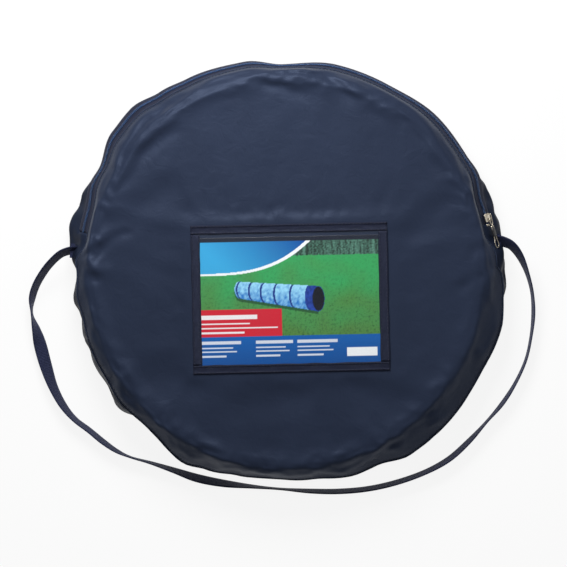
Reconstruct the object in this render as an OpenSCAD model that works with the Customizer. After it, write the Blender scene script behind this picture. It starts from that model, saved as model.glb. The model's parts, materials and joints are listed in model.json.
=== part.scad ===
// Agility tunnel for small dogs, folded flat in its round zipped carry bag.
// The bag lies on its back. The origin is on the floor under the middle of the disc,
// +Z is up through the disc, and +Y points to the zipped side.

/* [Tunnel] */
// Outer diameter of the tunnel and of its hoops in their channels
hoop_od = 400; // [300:1:600]
// Height from one folded hoop to the next
hoop_pitch = 6.9; // [6:0.1:10]
// Diameter of the spring steel wire
wire_d = 2.6; // [1.5:0.1:3]
// Room round the crimped sleeve inside the sewn channel
channel_room = 0.25; // [0.1:0.05:0.4]
// Wall of the sewn channel
channel_t = 0.4; // [0.2:0.1:0.5]
// Radius of the hole left in the middle of the folded skin
fold_hole_r = 25; // [10:1:60]
// Length of the crimped sleeve that joins a hoop's ends
ferrule_len = 30; // [15:1:50]
// Wall of the crimped sleeve
ferrule_t = 0.5; // [0.3:0.1:0.6]

/* [Bag] */
// How far the rim stands out from the hoops
rim_room = 22; // [14:1:40]
// Room between the top hoop and the front panel
top_room = 2.8; // [2:0.1:8]
// Thickness of the bag cloth with its hems
cloth_t = 0.8; // [0.5:0.1:1.2]
// Height of the fold line of the front flap above the disc's middle
fold_y = 54; // [50:1:90]

/* [Zip] */
// Width of one zip tape
tape_w = 8; // [6:0.5:12]
// Thickness of a zip tape
tape_t = 0.6; // [0.4:0.1:0.8]
// Width of one row of zip coil
coil_w = 1.6; // [1.2:0.1:2.4]
// Height of a row of zip coil
coil_t = 1.4; // [1:0.1:2]
// Gap between the two rows of coil
coil_gap = 1; // [0.8:0.1:1.6]
// Angle of the zip's closed end above the X axis
zip_angle = 12; // [10:0.5:13]
// Length of the slider along the zip
slider_len = 9; // [7:0.5:12]
// Length of the wire pull
pull_len = 24; // [15:1:35]
// Diameter of the pull's wire
pull_wire_d = 1.2; // [0.8:0.1:1.6]

/* [Window pocket] */
// Width of the window frame, outside
window_w = 202; // [160:1:230]
// Height of the window frame, outside
window_h = 153; // [110:1:170]
// Width of the frame's sewn tape
frame_w = 14; // [8:0.5:20]
// Thickness of the frame's lip over the film
frame_lip = 0.8; // [0.4:0.1:1.2]
// Thickness of the clear film
film_t = 0.2; // [0.1:0.05:0.4]
// How much narrower the printed card is than the frame
card_less_w = 12; // [11:0.5:60]
// How much lower the printed card is than the frame
card_less_h = 19; // [11:0.5:60]
// Thickness of the printed card
card_t = 0.4; // [0.2:0.05:0.5]

/* [Carry strap] */
// Width of the webbing
strap_w = 15; // [10:1:25]
// Thickness of the webbing
strap_t = 1.5; // [1:0.1:2]

/* [Hidden] */
hoop_count = 8;
section_count = hoop_count - 1;
fit_gap = 0.3;
hoop_names = [for (i = [1 : hoop_count]) str("hoop_", i)];
channel_names = [for (i = [1 : hoop_count]) str("hoop_channel_", i)];
section_names = [for (i = [1 : section_count]) str("skin_section_", i)];
$fn = 96;

navy = [0.17, 0.20, 0.29];
navy_dark = [0.12, 0.14, 0.22];
webbing_blue = [0.17, 0.19, 0.32];
skin_blue = [0.33, 0.55, 0.78];
skin_dark = [0.10, 0.19, 0.42];
wire_grey = [0.72, 0.72, 0.70];

// Folded tunnel
sleeve_d = wire_d + 0.1 + 2 * ferrule_t;
channel_d = sleeve_d + 2 * channel_room + 2 * channel_t;
ring_r = hoop_od / 2 - channel_d / 2;
first_hoop_z = cloth_t + fit_gap + channel_d / 2;
stack_top = first_hoop_z + (hoop_count - 1) * hoop_pitch + channel_d / 2;
skin_r = ring_r - channel_d / 2 - fit_gap;
skin_h = hoop_pitch - 2 * fit_gap;

// Bag outline, as points of radius and height
bag_r = hoop_od / 2 + rim_room;
bag_h = stack_top + top_room + cloth_t;
zip_r = bag_r - 9;
zip_z = bag_h - 22;
zip_slope = 53;
zip_in_r = zip_r - tape_w * cos(zip_slope);
zip_in_z = zip_z + tape_w * sin(zip_slope);
zip_out_r = zip_r + tape_w * cos(zip_slope);
zip_out_z = zip_z - tape_w * sin(zip_slope);
back_r = bag_r - 18;
front_outline = [
    [0, bag_h],
    [ring_r - 8, bag_h],
    [ring_r, bag_h - 0.6],
    [ring_r + 5, bag_h - 3.2],
    [zip_in_r - 1.6, zip_in_z + 6],
    [zip_in_r, zip_in_z]
];
gusset_outline = [
    [zip_out_r, zip_out_z],
    [bag_r - 1, zip_out_z * 0.8],
    [bag_r, zip_out_z * 0.6],
    [bag_r - 1.5, zip_out_z * 0.33],
    [bag_r - 7.5, zip_out_z * 0.12],
    [back_r, 0]
];
zip_sweep = 180 - 2 * zip_angle;
coil_seat = 0.05;

// Window pocket
window_x = 3.7;
window_y = fold_y - 5.4 - window_h / 2;
pocket_gap = 0.15;
film_z = bag_h + pocket_gap + card_t + 0.25;
lip_z = film_z + film_t;
frame_leg = frame_w - 8.5;
frame_top = lip_z + frame_lip;

// Carry strap: points of x, y, lift off the floor, and roll of the webbing.
// A roll of 0 lies flat and 90 stands on edge.
strap_route = [
    [-224, 26, 26.3, 0], [-231, 24, 25, 10], [-240, 17, 20, 35], [-250, 6, 13, 55],
    [-259, -8, 7, 70], [-264, -22, 2, 80], [-265, -38, 0, 90], [-261, -55, 0, 60],
    [-257, -72, 0, 35], [-252, -92, 0, 40], [-245, -114, 0, 50], [-235, -134, 0, 60],
    [-223, -149, 0, 65], [-208, -161, 0, 65], [-194, -173, 0, 70], [-180, -183, 0, 80],
    [-165, -190, 0, 88], [-145, -196, 0, 80], [-122, -204, 0, 65], [-97, -213, 0, 60],
    [-70, -219, 0, 65], [-40, -223, 0, 80], [-12, -226, 0, 85], [20, -229, 0, 70],
    [50, -230, 0, 65], [80, -228, 0, 65], [110, -222, 0, 65], [140, -212, 0, 60],
    [165, -199, 0, 60], [186, -181, 0, 65], [205, -161, 0, 65], [222, -142, 0, 70],
    [236, -121, 0, 70], [247, -98, 0, 65], [253, -74, 0, 60], [256, -50, 0, 60],
    [255, -28, 3, 65], [250, -8, 9, 60], [243, 9, 16, 45], [234, 21, 23, 20],
    [224, 26, 26.3, 0]
];
strap_y = 26;
strap_z = 27;
tab_len = 4.3;
tab_angle = asin(strap_y / bag_r);
tab_half_angle = strap_w / 2 / bag_r * 180 / PI;
tab_r = lookup(strap_z - strap_t / 2, [for (p = gusset_outline) [p[1], p[0]]]) + fit_gap;

// ---------------------------------------------------------------- helpers

function unit(v) = v / norm(v);

// The direction square to an outline at point i, to its right going along it
function outline_normal(pts, i) =
    let (a = pts[max(i - 1, 0)])
    let (b = pts[min(i + 1, len(pts) - 1)])
    let (d = unit(b - a))
    [d[1], -d[0]];

// A wall of one thickness behind an outline of radius and height
module wall_section(pts, t) {
    inner = [for (i = [len(pts) - 1 : -1 : 0]) pts[i] + t * outline_normal(pts, i)];
    polygon(concat(pts, inner));
}

module sector(from, sweep) {
    rotate([0, 0, from]) rotate_extrude(angle = sweep) children();
}

// A flat strip in the zip's slope: from and to are measured down the slope
module zip_section(from, to, low, high) {
    translate([zip_r, zip_z]) rotate(-zip_slope)
        translate([from, low]) square([to - from, high - low]);
}

module above_fold(gap) {
    translate([-bag_r, fold_y + gap, -1]) cube([2 * bag_r, bag_r, bag_h + 2]);
}

module below_fold() {
    translate([-bag_r, -bag_r, -1]) cube([2 * bag_r, bag_r + fold_y, bag_h + 2]);
}

// Places a piece on the zip: x runs down the slope, y along the zip and z outwards
module on_zip(angle) {
    rotate([0, 0, angle]) translate([zip_r, 0, zip_z]) rotate([0, zip_slope, 0]) children();
}

// ---------------------------------------------------------------- bag cloth

module back_panel() {
    color(navy_dark) cylinder(r = back_r - 0.5, h = cloth_t);
}

module front_shell() {
    rotate_extrude() wall_section(front_outline, cloth_t);
}

module front_panel() {
    color(navy) intersection() {
        front_shell();
        below_fold();
    }
}

module front_flap() {
    color(navy) intersection() {
        front_shell();
        above_fold(0.4);
    }
}

module gusset_lower() {
    full = concat([[zip_in_r + fit_gap, zip_in_z - 1.2 * fit_gap]], gusset_outline);
    color(navy_dark) sector(180 - zip_angle, 180 + 2 * zip_angle) wall_section(full, cloth_t);
}

module gusset_upper() {
    color(navy_dark) sector(zip_angle, zip_sweep) wall_section(gusset_outline, cloth_t);
}

// ---------------------------------------------------------------- zip

module tape_back_section() {
    zip_section(coil_gap / 2, tape_w - 0.2, -tape_t, 0);
}

module tape_front_section() {
    zip_section(-tape_w + 0.2, -coil_gap / 2, -tape_t, 0);
}

module zip_tape_back() {
    color(navy_dark) sector(zip_angle, zip_sweep) tape_back_section();
}

module zip_coil_back() {
    color(webbing_blue) sector(zip_angle, zip_sweep)
        zip_section(coil_gap / 2, coil_gap / 2 + coil_w, coil_seat, coil_t);
}

module zip_tape_front() {
    color(navy_dark) intersection() {
        sector(zip_angle, zip_sweep) tape_front_section();
        above_fold(0.4);
    }
}

module zip_coil_front() {
    color(webbing_blue) intersection() {
        sector(zip_angle, zip_sweep)
            zip_section(-coil_gap / 2 - coil_w, -coil_gap / 2, coil_seat, coil_t);
        above_fold(0.4);
    }
}

module zip_tape_ends() {
    color(navy_dark) intersection() {
        sector(zip_angle, zip_sweep) tape_front_section();
        below_fold();
    }
}

// One metal stop at each end of the zip, pressed over both tapes
module zip_stops() {
    stop_len = 2;
    for (angle = [zip_angle - 2.6, 182.6 - zip_angle])
        color(wire_grey) on_zip(angle)
            translate([-coil_w - 1, -stop_len / 2, fit_gap])
                cube([2 * coil_w + 2, stop_len, coil_t]);
}

slider_angle = zip_angle + 1.6;
plate_t = 1;
web_t = coil_gap - 0.4;
plate_w = 5.2;
bail_x = 2.8;
bail_h = 3;
bail_bar = 0.9;
bail_end = 2.2;
bail_w = 1.6;
lower_plate_z = -tape_t - fit_gap - plate_t;
upper_plate_z = coil_t + fit_gap;
wire_z = upper_plate_z + plate_t + (bail_h - bail_bar) / 2;

// Slider: lower plate under both tapes, web between the coils, and upper plate and bail on
// the bag's side, so that the flap's coil lifts out of it as it does from the real one.
module zip_slider() {
    color(wire_grey) on_zip(slider_angle) {
        difference() {
            translate([-plate_w, -slider_len / 2, lower_plate_z])
                cube([2 * plate_w, slider_len, plate_t]);
            translate([-plate_w - 1, -slider_len / 2 - 1, lower_plate_z - 1])
                cube([3, 3, plate_t + 2]);
        }
        translate([-web_t / 2, -slider_len / 2, lower_plate_z + plate_t])
            cube([web_t, slider_len, upper_plate_z - lower_plate_z - plate_t]);
        translate([-web_t / 2, -slider_len / 2, upper_plate_z])
            cube([plate_w + web_t / 2, slider_len, plate_t]);
        difference() {
            translate([bail_x - bail_w / 2, -slider_len / 2 + 1, upper_plate_z + plate_t])
                cube([bail_w, slider_len - 2, bail_h]);
            translate([bail_x - bail_w, -slider_len / 2 + bail_end, upper_plate_z + plate_t])
                cube([2 * bail_w, slider_len - 2 * bail_end, bail_h - bail_bar]);
        }
    }
}

link_gap = 0.45;
link_hole = bail_w + 2 * link_gap;
link_y = -slider_len / 2 + bail_end + pull_wire_d / 2 + link_gap;
link_w = link_hole + 2 * pull_wire_d;
link_len = 8;
link_end_y = link_y + pull_wire_d / 2 - link_len;

// Square wire eye through the slider's bail
module pull_link() {
    bar = pull_wire_d;
    color(wire_grey) on_zip(slider_angle)
        translate([bail_x - link_w / 2, link_end_y, wire_z - bar / 2])
            difference() {
                cube([link_w, link_len, bar]);
                translate([bar, bar, -1]) cube([link_hole, link_len - 2 * bar, bar + 2]);
            }
}

// Long wire loop that the fingers hold, hung in the link
module wire_pull() {
    bar = pull_wire_d;
    loop_w = 5.4;
    color(wire_grey) on_zip(slider_angle)
        translate([bail_x - loop_w / 2, link_end_y - fit_gap - pull_len, wire_z - bar / 2])
            difference() {
                cube([loop_w, pull_len, bar]);
                translate([bar, bar, -1]) cube([loop_w - 2 * bar, pull_len - 2 * bar, bar + 2]);
            }
}

// ---------------------------------------------------------------- window pocket

module window_film() {
    color([0.8, 0.85, 0.9]) translate([
        window_x - window_w / 2 + frame_leg,
        window_y - window_h / 2 + frame_leg,
        film_z
    ]) cube([window_w - frame_leg, window_h - 2 * frame_leg, film_t]);
}

// A sewn tape along y = 0 with its leg on the cloth and its lip towards +Y over the film
module frame_tape(length) {
    translate([0, 0, bag_h]) cube([length, frame_leg, frame_top - bag_h]);
    translate([0, frame_leg, lip_z]) cube([length, frame_w - frame_leg, frame_lip]);
}

module window_tape_bottom() {
    color(navy_dark) translate([window_x - window_w / 2, window_y - window_h / 2, 0])
        frame_tape(window_w);
}

module window_tape_top() {
    color(navy_dark) translate([window_x - window_w / 2, window_y + window_h / 2, 0])
        mirror([0, 1, 0]) frame_tape(window_w);
}

module window_tape_left() {
    color(navy_dark) translate([window_x - window_w / 2, window_y + window_h / 2 - frame_w, 0])
        rotate([0, 0, -90]) frame_tape(window_h - 2 * frame_w);
}

// The right tape is sewn to the film alone, so the pocket is open on that side
module window_tape_right() {
    color(navy_dark) translate([
        window_x + window_w / 2 - frame_w,
        window_y - window_h / 2 + frame_w,
        lip_z
    ]) cube([frame_w, window_h - 2 * frame_w, frame_lip]);
}

module card() {
    room = 0.5;
    color([0.25, 0.45, 0.35]) translate([
        window_x - window_w / 2 + frame_leg + room,
        window_y - window_h / 2 + frame_leg + room,
        bag_h + pocket_gap
    ]) cube([window_w - card_less_w, window_h - card_less_h, card_t]);
}

// ---------------------------------------------------------------- carry strap

module strap_tab_right() {
    color(webbing_blue) sector(tab_angle - tab_half_angle, 2 * tab_half_angle)
        translate([tab_r, strap_z - strap_t / 2]) square([tab_len, strap_t]);
}

module strap_tab_left() {
    mirror([1, 0, 0]) strap_tab_right();
}

// Height of the webbing's middle when its low edge is `lift` off the floor
function strap_mid_z(lift, roll) =
    lift + strap_w / 2 * abs(sin(roll)) + strap_t / 2 * abs(cos(roll));

strap_points = [for (p = strap_route) [p[0], p[1], strap_mid_z(p[2], p[3])]];
strap_rolls = [for (p = strap_route) p[3]];

// Rounded ribbon section, as shares of the half width and half thickness
ribbon_section = [
    [1, 0.5], [0.9, 1], [-0.9, 1], [-1, 0.5], [-1, -0.5], [-0.9, -1], [0.9, -1], [1, -0.5]
];

function strap_ring(i) =
    let (ahead = strap_points[min(i + 1, len(strap_points) - 1)])
    let (behind = strap_points[max(i - 1, 0)])
    let (d = unit([ahead[0] - behind[0], ahead[1] - behind[1]]))
    let (end = i == 0 || i == len(strap_points) - 1)
    let (side = end ? [0, i == 0 ? -1 : 1, 0] : [-d[1], d[0], 0])
    let (r = strap_rolls[i])
    let (across = cos(r) * side + [0, 0, sin(r)])
    let (through = -sin(r) * side + [0, 0, cos(r)])
    [for (s = ribbon_section)
        strap_points[i] + s[0] * strap_w / 2 * across + s[1] * strap_t / 2 * through];

module carry_strap() {
    sides = len(ribbon_section);
    rings = [for (i = [0 : len(strap_points) - 1]) strap_ring(i)];
    last = len(rings) - 1;
    walls = [for (i = [0 : last - 1]) for (k = [0 : sides - 1])
        let (a = i * sides + k)
        let (b = i * sides + (k + 1) % sides)
        each [[a, b + sides, a + sides], [a, b, b + sides]]];
    first_cap = [for (k = [1 : sides - 2]) [0, k + 1, k]];
    last_cap = [for (f = first_cap) [for (k = [2 : -1 : 0]) last * sides + f[k]]];
    caps = concat(first_cap, last_cap);
    color(webbing_blue) polyhedron([for (r = rings) each r], concat(walls, caps));
}

// ---------------------------------------------------------------- folded tunnel

function hoop_z(i) = first_hoop_z + (i - 1) * hoop_pitch;

module hoop(i) {
    color(wire_grey) translate([0, 0, hoop_z(i)])
        rotate_extrude() translate([ring_r, 0]) circle(d = wire_d, $fn = 32);
}

module hoop_channel(i) {
    color(skin_dark) translate([0, 0, hoop_z(i)]) rotate_extrude() translate([ring_r, 0])
        difference() {
            circle(d = channel_d, $fn = 32);
            circle(d = channel_d - 2 * channel_t, $fn = 32);
        }
}

// One cloth section between two hoops, folded inwards
module skin_section(i) {
    end = i == 1 || i == section_count;
    color(end ? skin_dark : skin_blue) translate([0, 0, hoop_z(i) + fit_gap])
        rotate_extrude() translate([fold_hole_r, 0]) square([skin_r - fold_hole_r, skin_h]);
}

// A crimped sleeve on each hoop, turned from one hoop to the next so that they don't stack
module hoop_ferrules() {
    sweep = ferrule_len / ring_r * 180 / PI;
    bore = wire_d + 0.1;
    for (i = [1 : hoop_count])
        color(wire_grey) translate([0, 0, hoop_z(i)]) sector(200 + 20 * i, sweep)
            translate([ring_r, 0]) difference() {
                circle(d = bore + 2 * ferrule_t, $fn = 32);
                circle(d = bore, $fn = 32);
            }
}

back_panel();
front_panel();
gusset_lower();
gusset_upper();
zip_tape_back();
zip_coil_back();
zip_tape_ends();
zip_stops();
window_film();
window_tape_top();
window_tape_bottom();
window_tape_left();
window_tape_right();
strap_tab_left();
strap_tab_right();
front_flap();
zip_tape_front();
zip_coil_front();
zip_slider();
pull_link();
wire_pull();
card();
carry_strap();
for (i = [1 : hoop_count]) hoop(i);
for (i = [1 : hoop_count]) hoop_channel(i);
for (i = [1 : section_count]) skin_section(i);
hoop_ferrules();
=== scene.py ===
import contextlib
import json
import math

import bmesh
import bpy
import numpy as np
from mathutils import Matrix, Vector, noise


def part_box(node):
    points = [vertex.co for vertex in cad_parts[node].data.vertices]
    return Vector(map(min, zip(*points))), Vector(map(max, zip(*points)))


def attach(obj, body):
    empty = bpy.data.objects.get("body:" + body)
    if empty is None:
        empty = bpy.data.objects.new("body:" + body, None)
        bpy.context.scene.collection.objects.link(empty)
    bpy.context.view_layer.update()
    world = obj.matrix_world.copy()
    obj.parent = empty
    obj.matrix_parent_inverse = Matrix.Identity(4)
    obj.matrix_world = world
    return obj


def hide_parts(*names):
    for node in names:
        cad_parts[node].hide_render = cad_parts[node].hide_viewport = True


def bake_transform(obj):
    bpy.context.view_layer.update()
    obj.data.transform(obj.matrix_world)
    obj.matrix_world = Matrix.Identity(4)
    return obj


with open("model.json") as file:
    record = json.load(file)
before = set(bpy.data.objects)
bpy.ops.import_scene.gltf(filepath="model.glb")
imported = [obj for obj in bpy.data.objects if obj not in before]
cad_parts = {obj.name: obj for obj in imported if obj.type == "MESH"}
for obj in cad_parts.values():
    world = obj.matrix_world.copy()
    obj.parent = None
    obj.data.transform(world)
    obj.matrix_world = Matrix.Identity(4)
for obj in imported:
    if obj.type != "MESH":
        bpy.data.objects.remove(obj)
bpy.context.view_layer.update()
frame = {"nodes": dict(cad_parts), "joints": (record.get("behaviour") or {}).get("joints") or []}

bl_info = {
    "name": "Folded agility tunnel in its carry bag",
    "version": (1, 0, 0),
    "blender": (4, 5, 0),
    "location": "3D View > Sidebar > Tunnel",
    "description": "Builds the zipped cloth bag, its pocket, strap and the folded tunnel",
    "category": "Object",
}

MM = 0.001

# Places and sizes taken from the frame
CARD_LOW, CARD_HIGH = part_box("card")
FILM_LOW, FILM_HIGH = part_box("window_film")
TAPE_TOP_LOW, TAPE_TOP_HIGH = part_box("window_tape_top")
TAPE_BOTTOM_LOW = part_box("window_tape_bottom")[0]
TAPE_LEFT_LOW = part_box("window_tape_left")[0]
TAPE_RIGHT_LOW, TAPE_RIGHT_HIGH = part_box("window_tape_right")
SLIDER = next(j for j in frame["joints"] if j["name"] == "slider_travel")

BAG_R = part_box("gusset_lower")[1].x
BAG_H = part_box("front_flap")[1].z
BACK_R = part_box("back_panel")[1].x
HOOP_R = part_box("hoop_channel_8")[1].x
ZIP_Z = SLIDER["pos_m"][2]
ZIP_START = math.radians(12)
ZIP_R = 213 * MM
SLIDER_ANGLE = math.radians(13.6)
ZIP_SLOPE = math.radians(53)

# How far the loose rim stands out from a true circle, in mm, at each angle in degrees
RIM_WAVES = [
    (0, 0), (7, 0), (13, 2), (22, 1), (31, -5), (45, -3), (60, -7), (75, -7), (90, -13),
    (100, -6), (116, -3), (124, 0), (132, 6), (140, 4), (150, -6), (158, 0), (167, 5),
    (173, 3), (180, -4), (186, -1), (192, -5), (200, -3), (210, -4), (217, -1), (226, -5),
    (240, 0), (247, -5), (256, -10), (265, -12), (276, -10), (288, -4), (294, -5), (303, 3),
    (315, 3), (330, 1), (343, 4), (353, 2),
]

# Strap route, as in the part but with both ends tucked in under the cover's edge:
# x, y, lift off the floor in mm, and roll in degrees
STRAP_ROUTE = [
    (-215, 27, 20.2, 60), (-223, 26, 20.2, 60), (-232, 23, 19, 62), (-241, 16, 16, 64),
    (-250, 6, 12, 64), (-259, -8, 7, 64), (-264, -22, 2, 68), (-265, -38, 0, 87), (-261, -55, 0, 60),
    (-257, -72, 0, 34), (-252, -92, 0, 38), (-245, -114, 0, 55), (-235, -134, 0, 64),
    (-223, -149, 0, 72), (-208, -161, 0, 72), (-194, -173, 0, 72), (-180, -183, 0, 78),
    (-165, -190, 0, 87), (-145, -196, 0, 82), (-122, -204, 0, 72), (-97, -213, 0, 60),
    (-70, -219, 0, 64), (-40, -223, 0, 79), (-12, -226, 0, 86), (20, -229, 0, 76),
    (50, -230, 0, 73), (80, -228, 0, 73), (110, -222, 0, 73), (140, -212, 0, 74),
    (165, -199, 0, 72), (186, -181, 0, 74), (205, -161, 0, 84), (222, -142, 0, 78),
    (236, -121, 0, 82), (247, -98, 0, 84), (253, -74, 0, 84), (256, -50, 0, 80),
    (255, -28, 3, 82), (250, -8, 9, 78), (243, 9, 14, 66), (234, 21, 20.5, 56),
    (224, 26, 21.5, 48), (215, 27.5, 21.5, 48),
]


# ------------------------------------------------------------------ user settings


class BagSettings(bpy.types.PropertyGroup):
    cloth_colour: bpy.props.FloatVectorProperty(
        name="Cloth", description="Colour of the bag's taffeta", subtype="COLOR", size=4,
        default=(0.0175, 0.0245, 0.047, 1))
    tape_colour: bpy.props.FloatVectorProperty(
        name="Frame tape", description="Colour of the tape round the window", subtype="COLOR",
        size=4, default=(0.010, 0.012, 0.025, 1))
    webbing_colour: bpy.props.FloatVectorProperty(
        name="Webbing", description="Colour of the carry strap", subtype="COLOR", size=4,
        default=(0.013, 0.016, 0.042, 1))
    zip_colour: bpy.props.FloatVectorProperty(
        name="Zip coil", description="Colour of the zip's coil", subtype="COLOR", size=4,
        default=(0.018, 0.055, 0.150, 1))
    thread_colour: bpy.props.FloatVectorProperty(
        name="Thread", description="Colour of the sewing thread", subtype="COLOR", size=4,
        default=(0.012, 0.014, 0.030, 1))
    skin_colour: bpy.props.FloatVectorProperty(
        name="Tunnel skin", description="Colour of the tunnel's middle sections",
        subtype="COLOR", size=4, default=(0.10, 0.30, 0.62, 1))
    end_colour: bpy.props.FloatVectorProperty(
        name="Tunnel ends", description="Colour of the end sections and hoop channels",
        subtype="COLOR", size=4, default=(0.012, 0.040, 0.16, 1))
    cloth_thickness: bpy.props.FloatProperty(
        name="Cloth thickness", description="Thickness of the bag's cloth with its coating",
        default=0.0005, unit="LENGTH")
    looseness: bpy.props.FloatProperty(
        name="Looseness", description="How much larger the cloth is cut than its shape",
        default=0.035, min=0, max=0.1)
    settle_frames: bpy.props.IntProperty(
        name="Settling frames", description="Frames that the cloth takes to settle",
        default=26, min=4, max=60)


class StrapSettings(bpy.types.PropertyGroup):
    width: bpy.props.FloatProperty(
        name="Width", description="Width of the webbing", default=0.015, unit="LENGTH")
    thickness: bpy.props.FloatProperty(
        name="Thickness", description="Thickness of the webbing", default=0.0014,
        unit="LENGTH")


class StitchSettings(bpy.types.PropertyGroup):
    spacing: bpy.props.FloatProperty(
        name="Spacing", description="Distance from stitch to stitch", default=0.0036,
        unit="LENGTH")
    length: bpy.props.FloatProperty(
        name="Length", description="Length of one stitch", default=0.0026, unit="LENGTH")
    thread: bpy.props.FloatProperty(
        name="Thread", description="Thickness of the thread", default=0.0006, unit="LENGTH")


# ------------------------------------------------------------------ small helpers


def smooth_loop(points, angle):
    """Value at an angle in degrees of a closed row of (angle, value), eased between them."""
    angle %= 360
    ring = points + [(points[0][0] + 360, points[0][1])]
    for (a, u), (b, v) in zip(ring, ring[1:]):
        if a <= angle <= b:
            t = (angle - a) / (b - a)
            return u + (v - u) * t * t * (3 - 2 * t)
    return points[0][1]


def catmull(points, steps):
    """A smooth row through points, with steps pieces between each two."""
    rows = [np.array(p, float) for p in points]
    rows = [2 * rows[0] - rows[1]] + rows + [2 * rows[-1] - rows[-2]]
    out = []
    for a, b, c, d in zip(rows, rows[1:], rows[2:], rows[3:]):
        for k in range(steps):
            t = k / steps
            out.append(0.5 * (2 * b + (c - a) * t + (2 * a - 5 * b + 4 * c - d) * t**2
                              + (3 * b - a - 3 * c + d) * t**3))
    out.append(rows[-2])
    return out


def new_mesh(name, verts, faces, material=None, smooth=True):
    mesh = bpy.data.meshes.new(name)
    mesh.from_pydata([tuple(v) for v in verts], [], faces)
    mesh.update()
    obj = bpy.data.objects.new(name, mesh)
    bpy.context.scene.collection.objects.link(obj)
    if material:
        mesh.materials.append(material)
    if smooth:
        mesh.polygons.foreach_set("use_smooth", [True] * len(mesh.polygons))
    return obj


def bake_modifiers(obj):
    """Turns the object's evaluated shape into its plain mesh and drops the modifiers."""
    depsgraph = bpy.context.evaluated_depsgraph_get()
    mesh = bpy.data.meshes.new_from_object(obj.evaluated_get(depsgraph))
    old = obj.data
    obj.modifiers.clear()
    obj.data = mesh
    bpy.data.meshes.remove(old)
    return obj


def thicken(obj, thickness, offset=-1.0, rim=True):
    wall = obj.modifiers.new("wall", "SOLIDIFY")
    wall.thickness = thickness
    wall.offset = offset
    wall.use_rim = rim
    return bake_modifiers(obj)


def subdivide(obj, levels=1):
    mod = obj.modifiers.new("smooth", "SUBSURF")
    mod.levels = levels
    mod.render_levels = levels
    return bake_modifiers(obj)


def grid_faces(rows, cols, closed_cols=False, flip=False):
    """Quads of a grid of rows x cols points, with the columns joined round if closed."""
    faces = []
    wide = cols if closed_cols else cols - 1
    for i in range(rows - 1):
        for k in range(wide):
            n = (k + 1) % cols
            quad = (i * cols + k, i * cols + n, (i + 1) * cols + n, (i + 1) * cols + k)
            faces.append(quad[::-1] if flip else quad)
    return faces


def tube(name, path, radius, material, sides=10, closed=False):
    """A round wire along a path of points, closed in a loop or capped at its ends."""
    pts = [Vector(p) for p in path]
    n = len(pts)
    verts, up = [], Vector((0.13, 0.21, 0.97)).normalized()
    for i, p in enumerate(pts):
        ahead = pts[(i + 1) % n] if closed else pts[min(i + 1, n - 1)]
        behind = pts[i - 1] if closed else pts[max(i - 1, 0)]
        along = (ahead - behind).normalized()
        side = along.cross(up).normalized()
        top = side.cross(along)
        for k in range(sides):
            a = 2 * math.pi * k / sides
            verts.append(p + radius * (math.cos(a) * side + math.sin(a) * top))
    faces = []
    for i in range(n if closed else n - 1):
        for k in range(sides):
            a, b = i * sides + k, i * sides + (k + 1) % sides
            c, d = ((i + 1) % n) * sides + (k + 1) % sides, ((i + 1) % n) * sides + k
            faces.append((a, b, c, d))
    if not closed:
        faces.append(tuple(range(sides - 1, -1, -1)))
        faces.append(tuple((n - 1) * sides + k for k in range(sides)))
    obj = new_mesh(name, verts, faces, material)
    fix_normals(obj)
    return obj


@contextlib.contextmanager
def edited(obj):
    """The object's mesh opened for editing, and written back when the work is done."""
    bm = bmesh.new()
    bm.from_mesh(obj.data)
    yield bm
    bm.to_mesh(obj.data)
    bm.free()


def face_outwards(obj):
    with edited(obj) as bm:
        bmesh.ops.recalc_face_normals(bm, faces=bm.faces)


def fix_normals(obj):
    """Welds points that lie on each other, then turns the faces outwards."""
    with edited(obj) as bm:
        bmesh.ops.remove_doubles(bm, verts=bm.verts, dist=1e-7)
        bmesh.ops.recalc_face_normals(bm, faces=bm.faces)


def drop_loose(obj):
    """Removes points that no face uses."""
    with edited(obj) as bm:
        bmesh.ops.delete(bm, geom=[v for v in bm.verts if not v.link_faces], context="VERTS")


def lay_uvs(obj, uvs):
    """Gives each point its place across and along the strip, in metres."""
    layer = obj.data.uv_layers.new(name="along")
    for corner in obj.data.loops:
        layer.data[corner.index].uv = uvs[corner.vertex_index]


def round_edges(obj, width, angle_only=False):
    """Rolls the edges of a pressed or crimped piece."""
    edge = obj.modifiers.new("edge", "BEVEL")
    edge.width = width
    edge.segments = 3
    if angle_only:
        edge.limit_method = "ANGLE"
    return bake_modifiers(obj)


def clamped(value):
    """The value kept from 0 to 1."""
    return max(0.0, min(1.0, value))


def join(name, objects):
    """One object from several, with their materials kept."""
    verts, faces, slots, mats = [], [], [], []
    for o in objects:
        start = len(verts)
        verts += [tuple(v.co) for v in o.data.vertices]
        for m in o.data.materials:
            if m not in mats:
                mats.append(m)
        for p in o.data.polygons:
            faces.append(tuple(start + i for i in p.vertices))
            slots.append(mats.index(o.data.materials[p.material_index]))
    joined = new_mesh(name, verts, faces)
    for m in mats:
        joined.data.materials.append(m)
    joined.data.polygons.foreach_set("material_index", slots)
    for o in objects:
        bpy.data.objects.remove(o)
    return joined


# ------------------------------------------------------------------ repeated pieces


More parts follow.
